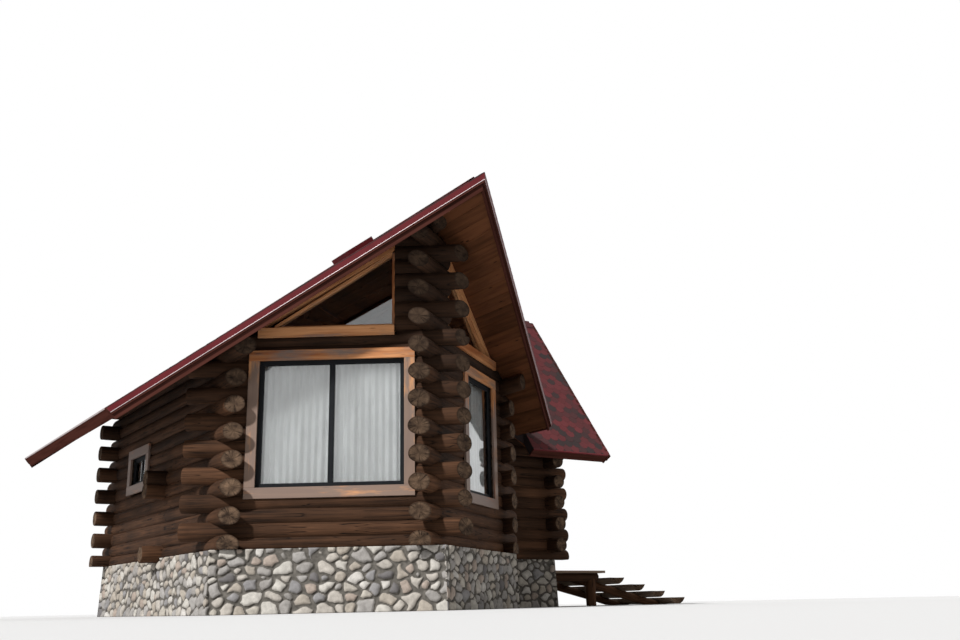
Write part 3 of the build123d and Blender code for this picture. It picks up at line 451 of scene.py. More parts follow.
class Finish:
    """A material made of nodes that read the piece's own grain and tone."""

    def __init__(self, name):
        self.material = bpy.data.materials.new(name)
        self.material.use_nodes = True
        self.tree = self.material.node_tree
        self.shader = self.tree.nodes["Principled BSDF"]

    def node(self, kind, inputs=(), **settings):
        """Adds a node. Inputs maps a socket's name or number to a value or a socket."""
        made = self.tree.nodes.new(kind)
        for key, value in settings.items():
            setattr(made, key, value)
        for key, value in dict(inputs).items():
            self.put(made.inputs[key], value)
        return made

    def put(self, socket, value):
        """Links a socket, or sets its value."""
        if isinstance(value, bpy.types.NodeSocket):
            self.tree.links.new(value, socket)
        else:
            socket.default_value = value

    def set(self, **values):
        """Sets the shader's sockets; an underscore stands for a space."""
        for key, value in values.items():
            self.put(self.shader.inputs[key.replace("_", " ")], value)
        return self.material

    def attribute(self, name):
        """The grain as a vector, or the tone as a number."""
        made = self.node("ShaderNodeAttribute", attribute_name=name)
        return made.outputs["Vector" if name == "grain" else "Fac"]

    def scaled(self, vector, factors):
        """A vector times three factors."""
        return self.node("ShaderNodeVectorMath", {0: vector, 1: factors}, operation="MULTIPLY").outputs[0]

    def noise(self, vector, scale, detail=4.0, rough=0.55, distortion=0.0):
        """Cloudy noise from 0 to 1."""
        return self.node("ShaderNodeTexNoise", {"Vector": vector, "Scale": scale, "Detail": detail,
                                                "Roughness": rough, "Distortion": distortion}).outputs[0]

    def math(self, operation, a, b=0.0):
        """One sum of two numbers."""
        return self.node("ShaderNodeMath", {0: a, 1: b}, operation=operation).outputs[0]

    def blend(self, a, part_a, b, part_b):
        """Two numbers added up, each times its own part."""
        return self.math("ADD", self.math("MULTIPLY", a, part_a), self.math("MULTIPLY", b, part_b))

    def place(self):
        """The point's own place on the cabin."""
        return self.node("ShaderNodeTexCoord").outputs["Object"]

    def height(self):
        """The point's height over the ground."""
        return self.node("ShaderNodeSeparateXYZ", {0: self.place()}).outputs[2]

    def ramp(self, value, stops, way="LINEAR"):
        """A colour for each value, from (place, colour) stops."""
        made = self.node("ShaderNodeValToRGB", {0: value})
        made.color_ramp.interpolation = way
        while len(made.color_ramp.elements) < len(stops):
            made.color_ramp.elements.new(0.5)
        for element, (place, colour) in zip(made.color_ramp.elements, stops):
            element.position = place
            element.color = (*colour, 1.0)
        return made.outputs[0]

    def mix(self, factor, a, b):
        """Two colours blended by a factor."""
        made = self.node("ShaderNodeMix", data_type="RGBA")
        colours = [c if isinstance(c, bpy.types.NodeSocket) else (*c[:3], 1.0) for c in (a, b)]
        self.put(made.inputs[0], factor)
        self.put(made.inputs[6], colours[0])
        self.put(made.inputs[7], colours[1])
        return made.outputs[2]

    def span(self, value, low, high):
        """Stretches low to high over 0 to 1."""
        return self.node("ShaderNodeMapRange", {0: value, 1: low, 2: high}).outputs[0]

    def painted_shade(self, colour, dark, share):
        """Painted shade under the roof's overhang: darkens a colour by a share, the higher it lies."""
        high = self.span(self.height(), *PAINTED_SHADE_HEIGHTS)
        return self.mix(self.math("MULTIPLY", high, share), colour, dark)

    def bump(self, height, strength, distance):
        """Roughens the surface by a height."""
        made = self.node("ShaderNodeBump", {"Strength": strength, "Distance": distance, "Height": height})
        self.put(self.shader.inputs["Normal"], made.outputs[0])


def shades(colour, *factors):
    """A colour times each factor."""
    return [tuple(c * factor for c in colour[:3]) for factor in factors]


def log_side_finish(look):
    """A weathered log without bark: streaks and patches along the grain, long cracks, and
    painted shade that darkens it the higher it lies under the roof."""
    f = Finish("Weathered log")
    grain, tone = f.attribute("grain"), f.attribute("tone")
    streaks = f.noise(f.scaled(grain, (1.1, 26.0, 3.7)), 1.0, 6.0, 0.62)
    fine = f.noise(f.scaled(grain, (5.0, 130.0, 3.7)), 1.0, 3.0, 0.6)
    patches = f.noise(f.scaled(grain, (1.3, 3.2, 1.9)), 1.0, 3.0, 0.5)
    checks = f.noise(f.scaled(grain, (0.55, 11.0, 5.3)), 1.0, 2.0, 0.45, 0.3)
    crack = f.span(f.math("ABSOLUTE", f.math("SUBTRACT", checks, 0.5)), 0.0, 0.012)
    light = f.blend(streaks, 0.6, patches, 0.4)
    light = f.math("ADD", light, f.math("MULTIPLY", f.math("SUBTRACT", tone, 0.5), 0.16))
    dark, warm = look.log_dark[:3], look.log_warm[:3]
    middle = tuple((p + q) / 2 * 0.8 for p, q in zip(dark, warm))
    colour = f.ramp(light, [(0.27, dark), (0.5, middle), (0.74, warm)])
    colour = f.mix(f.math("MULTIPLY", fine, 0.35), colour, dark)
    colour = f.mix(crack, LOG_CRACK, colour)
    # Painted shade: the higher the log lies under the roof, the darker it is made.
    colour = f.painted_shade(colour, dark, PAINTED_SHADE_SHARE)
    height = f.math("ADD", f.blend(crack, 0.8, streaks, 0.7), f.math("MULTIPLY", fine, 0.25))
    f.bump(height, 0.8, 0.006)
    return f.set(Base_Color=colour, Roughness=0.8, Specular_IOR_Level=0.08)


def log_end_finish(look):
    """A sawn log end: rings that wander a little, cracks that run out from the middle, and
    a dark rim. The grain holds the place over the end, from -1 to 1, and the log's number."""
    f = Finish("Sawn log end")
    disc = f.attribute("grain")
    flat = f.scaled(disc, (1.0, 1.0, 0.0))
    reach = f.node("ShaderNodeVectorMath", {0: flat}, operation="LENGTH").outputs["Value"]
    swirl = f.noise(disc, 2.2, 2.0)
    bent = f.math("ADD", reach, f.math("MULTIPLY", swirl, 0.22))
    rings = f.math("SINE", f.math("MULTIPLY", bent, 62.0))
    way = f.node("ShaderNodeVectorMath", {0: flat}, operation="NORMALIZE").outputs[0]
    turn, out = f.scaled(way, (3.2, 3.2, 0.0)), f.scaled(disc, (0.16, 0.16, 7.0))
    spokes = f.node("ShaderNodeVectorMath", {0: turn, 1: out}, operation="ADD").outputs[0]
    rays = f.noise(spokes, 1.0, 2.0, 0.5)
    crack = f.span(f.math("ABSOLUTE", f.math("SUBTRACT", rays, 0.5)), 0.0, 0.02)
    stain = f.noise(f.scaled(disc, (1.4, 1.4, 9.0)), 1.0, 4.0)
    dark, light = look.end_dark[:3], look.end_light[:3]
    colour = f.ramp(stain, [(0.3, dark), (0.68, light)])
    colour = f.mix(f.math("MULTIPLY", f.span(rings, -1.0, 1.0), 0.3), colour, dark)
    rim = f.span(reach, 0.8, 1.02)
    colour = f.mix(f.math("MULTIPLY", rim, 0.7), colour, look.log_dark[:3])
    colour = f.mix(crack, END_CRACK, colour)
    # Painted shade: the higher the end lies under the roof, the darker it is made.
    colour = f.painted_shade(colour, dark, PAINTED_SHADE_SHARE)
    f.bump(f.blend(crack, 1.0, rings, 0.06), 0.9, 0.008)
    return f.set(Base_Color=colour, Roughness=0.9, Specular_IOR_Level=0.06)


def wood_finish(name, light, dark, rough, knots=True, wear=0.0, shine=0.1):
    """Sawn wood: long grain lines, broad bands and a few knots. Where asked, rain has
    bleached it in patches, the more the lower it lies."""
    f = Finish(name)
    grain, tone = f.attribute("grain"), f.attribute("tone")
    bands = f.noise(f.scaled(grain, (0.8, 11.0, 1.0)), 1.0, 3.0, 0.5, 0.4)
    lines = f.noise(f.scaled(grain, (2.5, 95.0, 1.0)), 1.0, 4.0, 0.6)
    value = f.blend(bands, 0.7, lines, 0.3)
    value = f.math("ADD", value, f.math("MULTIPLY", f.math("SUBTRACT", tone, 0.5), 0.2))
    colour = f.ramp(value, [(0.33, dark), (0.62, light)])
    if knots:
        cells = f.node("ShaderNodeTexVoronoi", {"Vector": f.scaled(grain, (1.6, 9.0, 1.0)), "Scale": 1.0})
        knot = f.span(cells.outputs["Distance"], 0.05, 0.12)
        colour = f.mix(knot, shades(dark, 0.35)[0], colour)
    if wear:
        low = f.math("MULTIPLY", f.span(f.height(), *WORN_HEIGHTS), 0.34)
        patch = f.noise(f.scaled(grain, (1.6, 7.0, 1.0)), 1.0, 5.0, 0.6)
        worn = f.span(f.math("ADD", patch, low), 0.56, 0.78)
        colour = f.mix(f.math("MULTIPLY", worn, wear), colour, BLEACHED_WOOD)
    f.bump(f.math("ADD", lines, f.math("MULTIPLY", bands, 0.5)), 0.35, 0.002)
    return f.set(Base_Color=colour, Roughness=rough, Specular_IOR_Level=shine)


def stone_finish(look):
    """Fieldstones of many colours in rough mortar. The grain holds the place along and up
    and how far inside its stone a point lies; the tone is the stone's own number."""
    f = Finish("Fieldstone and mortar")
    grain, tone = f.attribute("grain"), f.attribute("tone")
    inside = f.node("ShaderNodeSeparateXYZ", {0: grain}).outputs[2]
    place = f.place()
    speck = f.noise(place, 90.0, 4.0, 0.7)
    cloud = f.noise(place, 14.0, 4.0, 0.6)
    stone = f.ramp(tone, STONE_COLOURS, "CONSTANT")
    shade = f.blend(cloud, 0.7, speck, 0.3)
    colour = f.mix(f.span(shade, 0.35, 0.7), f.mix(0.45, stone, STONE_DIRT), stone)
    # The mortar's own colour, made darker as painted shade for the deep joints between the stones.
    mortar = f.mix(f.span(cloud, 0.3, 0.7), *shades(look.mortar, 1.0, 0.45))
    colour = f.mix(f.span(inside, 0.06, 0.2), mortar, colour)
    f.bump(f.math("ADD", f.math("MULTIPLY", speck, 0.5), cloud), 0.5, 0.006)
    return f.set(Base_Color=colour, Roughness=0.9, Specular_IOR_Level=0.12)


def shingle_finish(look):
    """Grained shingles, each with its own shade, some of them dark."""
    f = Finish("Grained shingles")
    tone, place = f.attribute("tone"), f.place()
    grit = f.noise(place, 420.0, 2.0, 0.6)
    weather = f.noise(place, 1.7, 4.0, 0.6)
    red, light_red = shades(look.shingle_red, 1.0, 1.2)
    dark, darker = shades(look.shingle_dark, 1.0, 0.4)
    middle = tuple(0.5 * (a + b) for a, b in zip(red, dark))
    colour = f.ramp(tone, [(0.22, dark), (0.4, middle), (0.55, red), (1.0, light_red)])
    colour = f.mix(f.math("MULTIPLY", grit, 0.4), colour, darker)
    colour = f.mix(f.math("MULTIPLY", f.span(weather, 0.45, 0.7), 0.35), colour, dark)
    f.bump(grit, 0.4, 0.0015)
    return f.set(Base_Color=colour, Roughness=0.9, Specular_IOR_Level=0.08)


def plain_finish(name, colour, rough, metallic=0.0, speck=60.0):
    """Paint or metal with a faint unevenness."""
    f = Finish(name)
    place = f.place()
    cloud = f.noise(place, 3.0, 4.0, 0.6)
    grit = f.noise(place, speck, 3.0, 0.6)
    base = f.mix(f.span(cloud, 0.3, 0.7), *shades(colour, 0.72, 1.0))
    f.bump(grit, 0.25, 0.001)
    return f.set(Base_Color=base, Roughness=rough, Metallic=metallic, Specular_IOR_Level=0.05)


def glass_finish():
    """Coated glass that mirrors more than plain glass does, with a slight waviness."""
    f = Finish("Window glass")
    f.bump(f.noise(f.place(), 1.3, 1.0), 0.05, 0.01)
    return f.set(Base_Color=(0.95, 0.975, 0.985, 1.0), Roughness=0.015, IOR=1.9, Transmission_Weight=1.0)


def cloth_finish():
    """Thin woven cloth with a soft sheen."""
    f = Finish("Curtain cloth")
    grain = f.attribute("grain")
    weave = f.noise(f.scaled(grain, (900.0, 900.0, 1.0)), 1.0, 1.0)
    cloud = f.noise(f.scaled(grain, (3.0, 1.2, 1.0)), 1.0, 3.0)
    colour = f.mix(f.span(cloud, 0.3, 0.7), CLOTH_SHADE, CLOTH_LIGHT)
    f.bump(weave, 0.2, 0.0008)
    return f.set(Base_Color=colour, Roughness=0.9, Sheen_Weight=0.3)


# Sizes and colours a user may change


class CabinLook(bpy.types.PropertyGroup):
    """Colours of the cabin."""
    log_dark: bpy.props.FloatVectorProperty(
        name="Dark log", description="Dark parts of the weathered logs", subtype="COLOR", min=0, max=1,
        default=(0.012, 0.0075, 0.0055))
    log_warm: bpy.props.FloatVectorProperty(
        name="Warm log", description="Light parts of the weathered logs", subtype="COLOR", min=0, max=1,
        default=(0.158, 0.074, 0.038))
    end_dark: bpy.props.FloatVectorProperty(
        name="Dark log end", description="Dark parts of the sawn ends", subtype="COLOR", min=0, max=1,
        default=(0.028, 0.018, 0.013))
    end_light: bpy.props.FloatVectorProperty(
        name="Light log end", description="Light parts of the sawn ends", subtype="COLOR", min=0, max=1,
        default=(0.185, 0.118, 0.075))
    pine_light: bpy.props.FloatVectorProperty(
        name="Light pine", description="Light parts of the casings and beams", subtype="COLOR", min=0, max=1,
        default=(0.62, 0.300, 0.135))
    pine_dark: bpy.props.FloatVectorProperty(
        name="Dark pine", description="Dark parts of the casings and beams", subtype="COLOR", min=0, max=1,
        default=(0.27, 0.090, 0.032))
    stain: bpy.props.FloatVectorProperty(
        name="Stained board", description="Boards along the roof's edges", subtype="COLOR", min=0, max=1,
        default=(0.046, 0.016, 0.012))
    soffit: bpy.props.FloatVectorProperty(
        name="Soffit", description="Boards under the roof", subtype="COLOR", min=0, max=1,
        default=(0.145, 0.055, 0.024))
    # Mortar colour, partly its own and partly painted shade for the deep joints between the stones.
    mortar: bpy.props.FloatVectorProperty(
        name="Mortar", description="Mortar between the stones", subtype="COLOR", min=0, max=1,
        default=(0.15, 0.137, 0.12))
    shingle_red: bpy.props.FloatVectorProperty(
        name="Red shingle", description="The red shingles", subtype="COLOR", min=0, max=1,
        default=(0.130, 0.032, 0.035))
    shingle_dark: bpy.props.FloatVectorProperty(
        name="Dark shingle", description="The dark shingles", subtype="COLOR", min=0, max=1,
        default=(0.046, 0.034, 0.034))
    metal_red: bpy.props.FloatVectorProperty(
        name="Red edge", description="The folded metal edges", subtype="COLOR", min=0, max=1,
        default=(0.115, 0.016, 0.019))
    # Pale colour of the hems and drip strips: a painted highlight for the bright line along the metal's
    # fold.
    metal_hem_highlight: bpy.props.FloatVectorProperty(
        name="Bare edge", description="The unpainted hems and drip strips", subtype="COLOR", min=0, max=1,
        default=(0.55, 0.45, 0.45))
    frame_grey: bpy.props.FloatVectorProperty(
        name="Window frame", description="Paint of the window frames", subtype="COLOR", min=0, max=1,
        default=(0.016, 0.017, 0.019))


class CabinSizes(bpy.types.PropertyGroup):
    """Sizes of the cabin's small parts."""
    stone: bpy.props.FloatProperty(
        name="Stone", description="Usual width of a fieldstone", subtype="DISTANCE", unit="LENGTH",
        default=0.22, min=0.08, max=0.5)
    tab_width: bpy.props.FloatProperty(
        name="Tab width", description="Width of one shingle tab", subtype="DISTANCE", unit="LENGTH",
        default=0.2, min=0.1, max=1.0)
    exposure: bpy.props.FloatProperty(
        name="Exposure", description="How much of each shingle course shows", subtype="DISTANCE",
        unit="LENGTH", default=0.145, min=0.05, max=0.4)
    board: bpy.props.FloatProperty(
        name="Board", description="Width of a soffit board", subtype="DISTANCE", unit="LENGTH",
        default=0.22, min=0.08, max=0.4)
    fold: bpy.props.FloatProperty(
        name="Curtain fold", description="Width of one fold of a curtain", subtype="DISTANCE",
        unit="LENGTH", default=0.11, min=0.04, max=0.4)


def look():
    """The colours in use."""
    return bpy.context.scene.cabin_look


def sizes():
    """The sizes in use."""
    return bpy.context.scene.cabin_sizes


MADE = {}


def once(name, make):
    """A finish made the first time it is asked for."""
    if name not in MADE:
        MADE[name] = make()
    return MADE[name]


def log_finishes():
    """Both finishes of the logs, first the side's and then the sawn end's."""
    return [once("log side", lambda: log_side_finish(look())),
            once("log end", lambda: log_end_finish(look()))]


def shingle_cover():
    """The shingles."""
    return once("shingle", lambda: shingle_finish(look()))


def dark_edge():
    """The roof's deck and the shingles' dark edge."""
    return once("deck", lambda: plain_finish("Roof deck", look().shingle_dark, 0.9))


def soffit_wood():
    """The boards under the roof."""
    return once("soffit", lambda: wood_finish("Soffit boards", *shades(look().soffit, 1.0, 0.42), 0.55))


def stained_wood():
    """The boards along the roof's edges."""
    return once("stain", lambda: wood_finish("Stained board", *shades(look().stain, 1.5, 0.6), 0.9, False,
                                             shine=0.0))


def red_metal():
    """The painted edge metal."""
    return once("red", lambda: plain_finish("Red edge metal", look().metal_red, 0.38, 0.0, 25.0))


def hem_highlight_metal():
    """The hems and drip strips: metal whose pale colour is a painted highlight along the fold."""
    return once("bare", lambda: plain_finish("Hem highlight metal", look().metal_hem_highlight, 0.3, 0.6, 25.0))


def pine():
    """The casings, the beams and the door."""
    return once("pine", lambda: wood_finish("Varnished pine", look().pine_light[:3], look().pine_dark[:3],
                                            0.42, True, 0.85))


def deck_wood():
    """The landing and the steps."""
    return once("deck wood", lambda: wood_finish("Weathered deck", DECK_LIGHT, DECK_DARK, 0.7, True, 0.5))


def brushed_steel():
    """The rails and the door handle."""
    return once("steel", lambda: plain_finish("Brushed steel", STEEL_GREY, 0.35, 1.0))


# Log walls


# Room that a log has to have under the roof, how far below the roof it is cut, and the
# shortest piece of log that is laid.
ROOM_UNDER_ROOF = 0.03
ROOF_GAP = 0.002
SHORTEST_LOG = 0.08


def trimmed(wall, z, s0, s1):
    """A log's stretch that has room under the roof."""
    s = np.linspace(s0, s1, 400)
    p = wall.at(np.stack([s, np.zeros_like(s), np.zeros_like(s)], -1))
    room = under_roof(p[:, 0], p[:, 1]) > z - LOG_RADIUS + ROOM_UNDER_ROOF
    return (s[room].min(), s[room].max()) if room.any() else (0.0, 0.0)


def wall_piece(name, walls, nodes, seed):
    """The logs of one or more walls as one piece."""
    rng = np.random.default_rng(seed)
    surface = Surface()
    for wall in walls:
        for k, s0, s1, cut0, cut1 in wall_logs(wall):
            z = course_z(k)
            t0, t1 = trimmed(wall, z, s0, s1) if k >= WALL_COURSES - 2 else (s0, s1)
            for a, b in clear_of_openings(wall, z, t0, t1):
                if b - a < SHORTEST_LOG:
                    continue
                start = wall.at([a, 0.0, z])
                cuts = (cut0 if a == s0 else None, cut1 if b == s1 else None)
                log_surface(surface, start, wall.along, b - a, LOG_RADIUS, rng, cuts, hold_log(wall, k))
    if LEFT_SIDE in walls:
        for k in CROSS_COURSES:
            start = CROSS_WALL.at([HALF_WIDTH - CROSS_INSIDE, 0.0, course_z(k)])
            log_surface(surface, start, CROSS_WALL.along, CROSS_INSIDE + CORNER_STUB, LOG_RADIUS, rng)
    surface.build(name, log_finishes(), nodes)


def hold_log(wall, k):
    """Limits of one log: the plinth, the roof and the flat under a gable sill."""
    def hold(points):
        if k == 0:
            points[..., 2] = np.maximum(points[..., 2], PLINTH_TOP)
        if k >= WALL_COURSES - 2:
            roof = under_roof(points[..., 0], points[..., 1]) - ROOF_GAP
            points[..., 2] = np.minimum(points[..., 2], roof)
        if k == WALL_COURSES and wall in (PROW_LEFT, PROW_RIGHT):
            far = np.abs(points[..., 0]) / HALF_WIDTH * PROW_LENGTH
            seat = (far > GABLE_NEAR) & (far < GABLE_FAR)
            points[..., 2] = np.where(seat, np.minimum(points[..., 2], GABLE_SILL_Z), points[..., 2])
        return points
    return hold


def prism(surface, plan, tops, depth, rng, finish=0):
    """A timber from four plan points, with a height over each, carried straight down.
    The first two points are one side, so the grain runs from the first to the second."""
    (a, b, c, d), (ta, tb, tc, td) = plan, tops
    corners = [(*a, ta), (*d, td), (*d, td - depth), (*a, ta - depth),
               (*b, tb), (*c, tc), (*c, tc - depth), (*b, tb - depth)]
    bar(surface, corners, rng, finish)


def offset_plan(points, outs):
    """A plan outline, run anticlockwise, each edge moved outwards by its own distance. A
    corner moves so far that it lies on both moved edges."""
    p = np.asarray(points, float)
    along = unit(np.roll(p, -1, 0) - p)
    outward = np.stack([along[:, 1], -along[:, 0]], -1)
    outs = np.broadcast_to(outs, len(p)).astype(float)
    rows = np.stack([np.roll(outward, 1, 0), outward], 1)
    return p + np.linalg.solve(rows, np.stack([np.roll(outs, 1), outs], -1)[..., None])[..., 0]


# Plinth


# How far the plinth stands out from the walls along each side of the house, how much
# further its foot does, how far it reaches inside, its rows of points, and the widest
# step between two columns of points, on most sides and on those that show most.
PLINTH_OUTS = np.array([0.3, 0.15, 0.1, 0.1, 0.1, 0.15, 0.12, 0.19, 0.3])
PLINTH_BATTER = 0.03
PLINTH_INSIDE = 0.2
PLINTH_ROWS = 56
COLUMN_STEP = 0.03
FINE_STEPS = {0: 0.0165, 1: 0.0165, 2: 0.0165, 7: 0.02, 8: 0.0165}

# Depth of the mortar, its width, and how much a stone is counted wider than high. The
# rim, the reach and the fade of a stone are shares of the stones' size.
MORTAR_DEPTH = 0.05
MORTAR_GAP = 0.024
STONE_WIDER = 1.25
STONE_RIM, STONE_REACH, STONE_FADE = 0.34, 0.72, 0.22
COLUMNS_AT_ONCE = 100


def stone_field(u, v, corner_u, rng, size):
    """Depth of a rubble face over its length and height. Each point belongs to the nearest
    of many scattered points, with the distance along counted less than that upwards, over
    the stone's own weight. With t the difference between the second distance and the
    nearest, less the mortar's width and over the rim, the stone stands out by its swell
    times the root of 1 - (1 - t) squared, so it is round like a cushion. Gives the depth,
    the stone's number and t."""
    rows, z = [], 0.0
    top = v.max()
    while z < top - 0.03:
        high = size * rng.uniform(0.5, 0.95)
        rows.append((z, min(z + high, top)))
        z += high
    seeds = []
    for low, high in rows:
        x = rng.uniform(-size, 0)
        while x < u.max() + size:
            wide = size * rng.uniform(0.45, 1.6)
            seeds.append((x + wide / 2, (low + high) / 2 + rng.uniform(-0.4, 0.4) * (high - low)))
            x += wide
    seeds = np.array(seeds)
    number = rng.uniform(0, 1, len(seeds))
    swell = rng.uniform(0.7, 1.05, len(seeds))
    tilt = rng.uniform(-0.12, 0.12, (len(seeds), 2))
    weight = rng.uniform(0.62, 1.4, len(seeds))
    U, V = np.meshgrid(u, v, indexing="ij")
    warp_u = U + 0.012 * np.sin(V * 31 + U * 9) + 0.008 * np.sin(U * 47 + 1.3)
    warp_v = V + 0.010 * np.sin(U * 27 + V * 11)
    depth, stone, inner = np.zeros_like(U), np.zeros_like(U), np.zeros_like(U)
    for start in range(0, len(u), COLUMNS_AT_ONCE):
        cut = slice(start, start + COLUMNS_AT_ONCE)
        low, high = u[cut].min() - 3 * size, u[cut].max() + 3 * size
        which = np.flatnonzero((seeds[:, 0] > low) & (seeds[:, 0] < high))
        near = seeds[which]
        du = (warp_u[cut][..., None] - near[:, 0]) / STONE_WIDER
        dv = warp_v[cut][..., None] - near[:, 1]
        far = np.sqrt(du ** 2 + dv ** 2) / weight[which]
        order = np.argpartition(far, 1, axis=-1)[..., :2]
        two = np.take_along_axis(far, order, -1)
        swap = two[..., 0] > two[..., 1]
        first = np.where(swap, order[..., 1], order[..., 0])
        gap = np.abs(two[..., 1] - two[..., 0])
        near_middle = np.clip((STONE_REACH * size - two.min(-1)) / (STONE_FADE * size), 0, 1)
        t = np.clip((gap - MORTAR_GAP) / (STONE_RIM * size), 0, 1) * near_middle
        cushion = np.sqrt(1 - (1 - t) ** 2)
        idx = which[first]
        along = np.take_along_axis(du, first[..., None], -1)[..., 0]
        upward = np.take_along_axis(dv, first[..., None], -1)[..., 0]
        lean = tilt[idx, 0] * along + tilt[idx, 1] * upward
        depth[cut] = -MORTAR_DEPTH + cushion * (MORTAR_DEPTH * swell[idx] + lean)
        stone[cut], inner[cut] = number[idx], t
    edge = np.abs(u[:, None] - corner_u[None, :]).min(-1)
    fade = np.clip(edge / 0.02, 0, 1)[:, None]
    return depth * fade - 0.008 * (1 - fade), stone, inner


def plinth_piece():
    """The plinth: one closed ring whose outer face is a field of cushioned stones, set
    in from or out of a slightly battered plane, with a flat top, inside and foot."""
    rng = np.random.default_rng(11)
    outer = offset_plan(HOUSE, PLINTH_OUTS)
    foot = offset_plan(HOUSE, PLINTH_OUTS + PLINTH_BATTER)
    inner = offset_plan(HOUSE, -PLINTH_INSIDE)
    n = len(HOUSE)
    columns, u_at, corner_u, length = [], [], [0.0], 0.0
    for k in range(n):
        span = float(np.linalg.norm(outer[(k + 1) % n] - outer[k]))
        steps = max(4, int(span / FINE_STEPS.get(k, COLUMN_STEP)))
        t = np.linspace(0, 1, steps, endpoint=False)
        columns += [(k, x) for x in t]
        u_at += list(length + t * span)
        length += span
        corner_u.append(length)
    k = np.array([c[0] for c in columns])
    t = np.array([c[1] for c in columns])[:, None]
    nxt = (k + 1) % n
    top_line = outer[k] * (1 - t) + outer[nxt] * t
    foot_line = foot[k] * (1 - t) + foot[nxt] * t
    in_line = inner[k] * (1 - t) + inner[nxt] * t
    along = unit(outer[nxt] - outer[k])
    face = np.stack([along[:, 1], -along[:, 0]], -1)
    mitre = unit(foot[k] - outer[k])
    at_corner = t[:, 0] == 0
    face = np.where(at_corner[:, None], mitre, face)
    v = np.linspace(0, PLINTH_TOP, PLINTH_ROWS)
    u = np.array(u_at)
    depth, stone, inside = stone_field(u, v, np.array(corner_u), rng, sizes().stone)
    depth[:, -1] = np.minimum(depth[:, -1], -0.004)
    depth[:, 0] = np.minimum(depth[:, 0], -0.004)
    w = (v / PLINTH_TOP)[None, :, None]
    plan = foot_line[:, None] * (1 - w) + top_line[:, None] * w + face[:, None] * depth[..., None]
    ring = np.concatenate([plan, np.broadcast_to(v[None, :, None], plan.shape[:2] + (1,))], -1)
    extra_top = np.concatenate([in_line, np.full((len(u), 1), PLINTH_TOP)], -1)[:, None]
    extra_low = np.concatenate([in_line, np.zeros((len(u), 1))], -1)[:, None]
    ring = np.concatenate([ring, extra_top, extra_low], 1)
    zero = np.zeros((len(u), 2))
    grain = np.stack([np.broadcast_to(u[:, None], ring.shape[:2]), ring[..., 2],
                      np.concatenate([inside, zero], 1)], -1)
    tone = np.concatenate([stone, zero], 1)
    quads = grid_quads(len(u), len(v) + 2, True, True)
    surface = Surface()
    surface.add(ring, quads, grain.reshape(-1, 3), tone.ravel())
    surface.build("fieldstone_plinth", [stone_finish(look())], ["stone_plinth"])


# Roof


class Slope:
    """One roof slope. A point on it is given by its distance along the ridge, its level
    distance out from the ridge and its depth straight below the upper face."""

    def __init__(self, name, wing, side):
        self.name, self.wing, self.side = name, wing, side
        self.slope = WING_SLOPE if wing else MAIN_SLOPE
        self.drop = WING_DROP if wing else MAIN_DROP
        self.run = WING_EAVE if wing else (LEFT_EAVE if side < 0 else RIGHT_EAVE)
        self.lean = math.sqrt(1 + self.slope ** 2)

    def at(self, along, out, depth):
        """The point in the row frame."""
        z = RIDGE_Z - self.slope * out - depth
        if self.wing:
            return (along, WING_MID_Y + self.side * out, z)
        return (self.side * out, along, z)

    def reach(self, depth, past=0.0):
        """How far out a cut square to the slope at the eave lies at a depth."""
        return self.run + past / self.lean - depth * self.slope / self.lean ** 2

    def ends(self, out, over=0.0):
        """Where the slope's two ends lie along the ridge, moved over its boards."""
        if self.wing:
            return out / VALLEY, WING_RAKE_X + over
        return TIP_Y + RAKE_SLOPE * out - over / math.cos(RAKE_TURN), REAR_Y + over

    def spans(self, out, over=0.0):
        """The stretches along the ridge that the slope covers, less the valleys."""
        low, high = self.ends(out, over)
        if self.wing:
            return [(min(low, RIGHT_EAVE), high)]
        if self.side < 0:
            return [(low, high)]
        return [(low, WING_MID_Y - VALLEY * out), (WING_MID_Y + VALLEY * out, high)]


SLOPES = [Slope("left", False, -1), Slope("right", False, 1), Slope("wing_front", True, -1),
          Slope("wing_rear", True, 1)]
ROOF_NODES = {"left": "main_roof_left", "right": "main_roof_right", "wing_front": "wing_roof_front",
              "wing_rear": "wing_roof_rear"}
# How far the tabs run past a slanting end, the depth of the layer that they fill, and the
# thickness of the soffit boards.
VERGE = 0.0794
SKIN = 0.018
PLY = 0.016

# Room between deck and soffit boards, at both sides of a soffit board, and the narrowest
# and shortest board laid.
DECK_GAP = 0.0005
SOFFIT_JOINTS = (0.002, 0.003)
NARROWEST_BOARD, SHORTEST_BOARD = 0.01, 0.02

# A tab's shoulders and head over its foot, in courses; where over its width its cut foot
# begins and ends; the room at each of its sides; how thin, at least and at most, and how
# narrow a tab's foot may be; and how near the ridge the last course may lie.
TAB_SHOULDER, TAB_HEAD = 0.42, 1.6
TAB_FOOT = (0.3, 0.7)
TAB_JOINT = 0.003
TAB_BUTT = (0.008, 0.014)
NARROWEST_TAB = 0.012
LAST_COURSE = 0.04
TAB_FACES = np.array([
    (0, 1, 3, 2), (2, 3, 5, 4), (6, 7, 1, 0), (8, 6, 0, 2), (7, 9, 3, 1), (10, 8, 2, 4),
    (9, 11, 5, 3), (11, 10, 4, 5), (8, 9, 7, 6), (10, 11, 9, 8)])

# Ridge caps: the step from one to the next, a cap's length and the shortest one, how far
# it folds down over the main ridge and over the wing's, its thickness and how much its foot
# stands up. The rows of caps stop short of the roof's ends and of the ridges' crossing.
CAP_STEP, CAP_LENGTH, SHORTEST_CAP = 0.17, 0.24, 0.1
FRONT_STOP, END_STOP, CROSSING_STOP, WING_STOP = 0.06, 0.04, 0.12, 0.38
MAIN_FOLD, WING_FOLD = 0.145, 0.13
CAP_THICK, CAP_LIFT = 0.010, 0.011
CAP_FACES = np.array([
    (3, 4, 10, 9), (4, 5, 11, 10), (1, 0, 6, 7), (2, 1, 7, 8), (0, 3, 9, 6), (5, 2, 8, 11),
    (0, 1, 4, 3), (1, 2, 5, 4), (7, 6, 9, 10), (8, 7, 10, 11)])


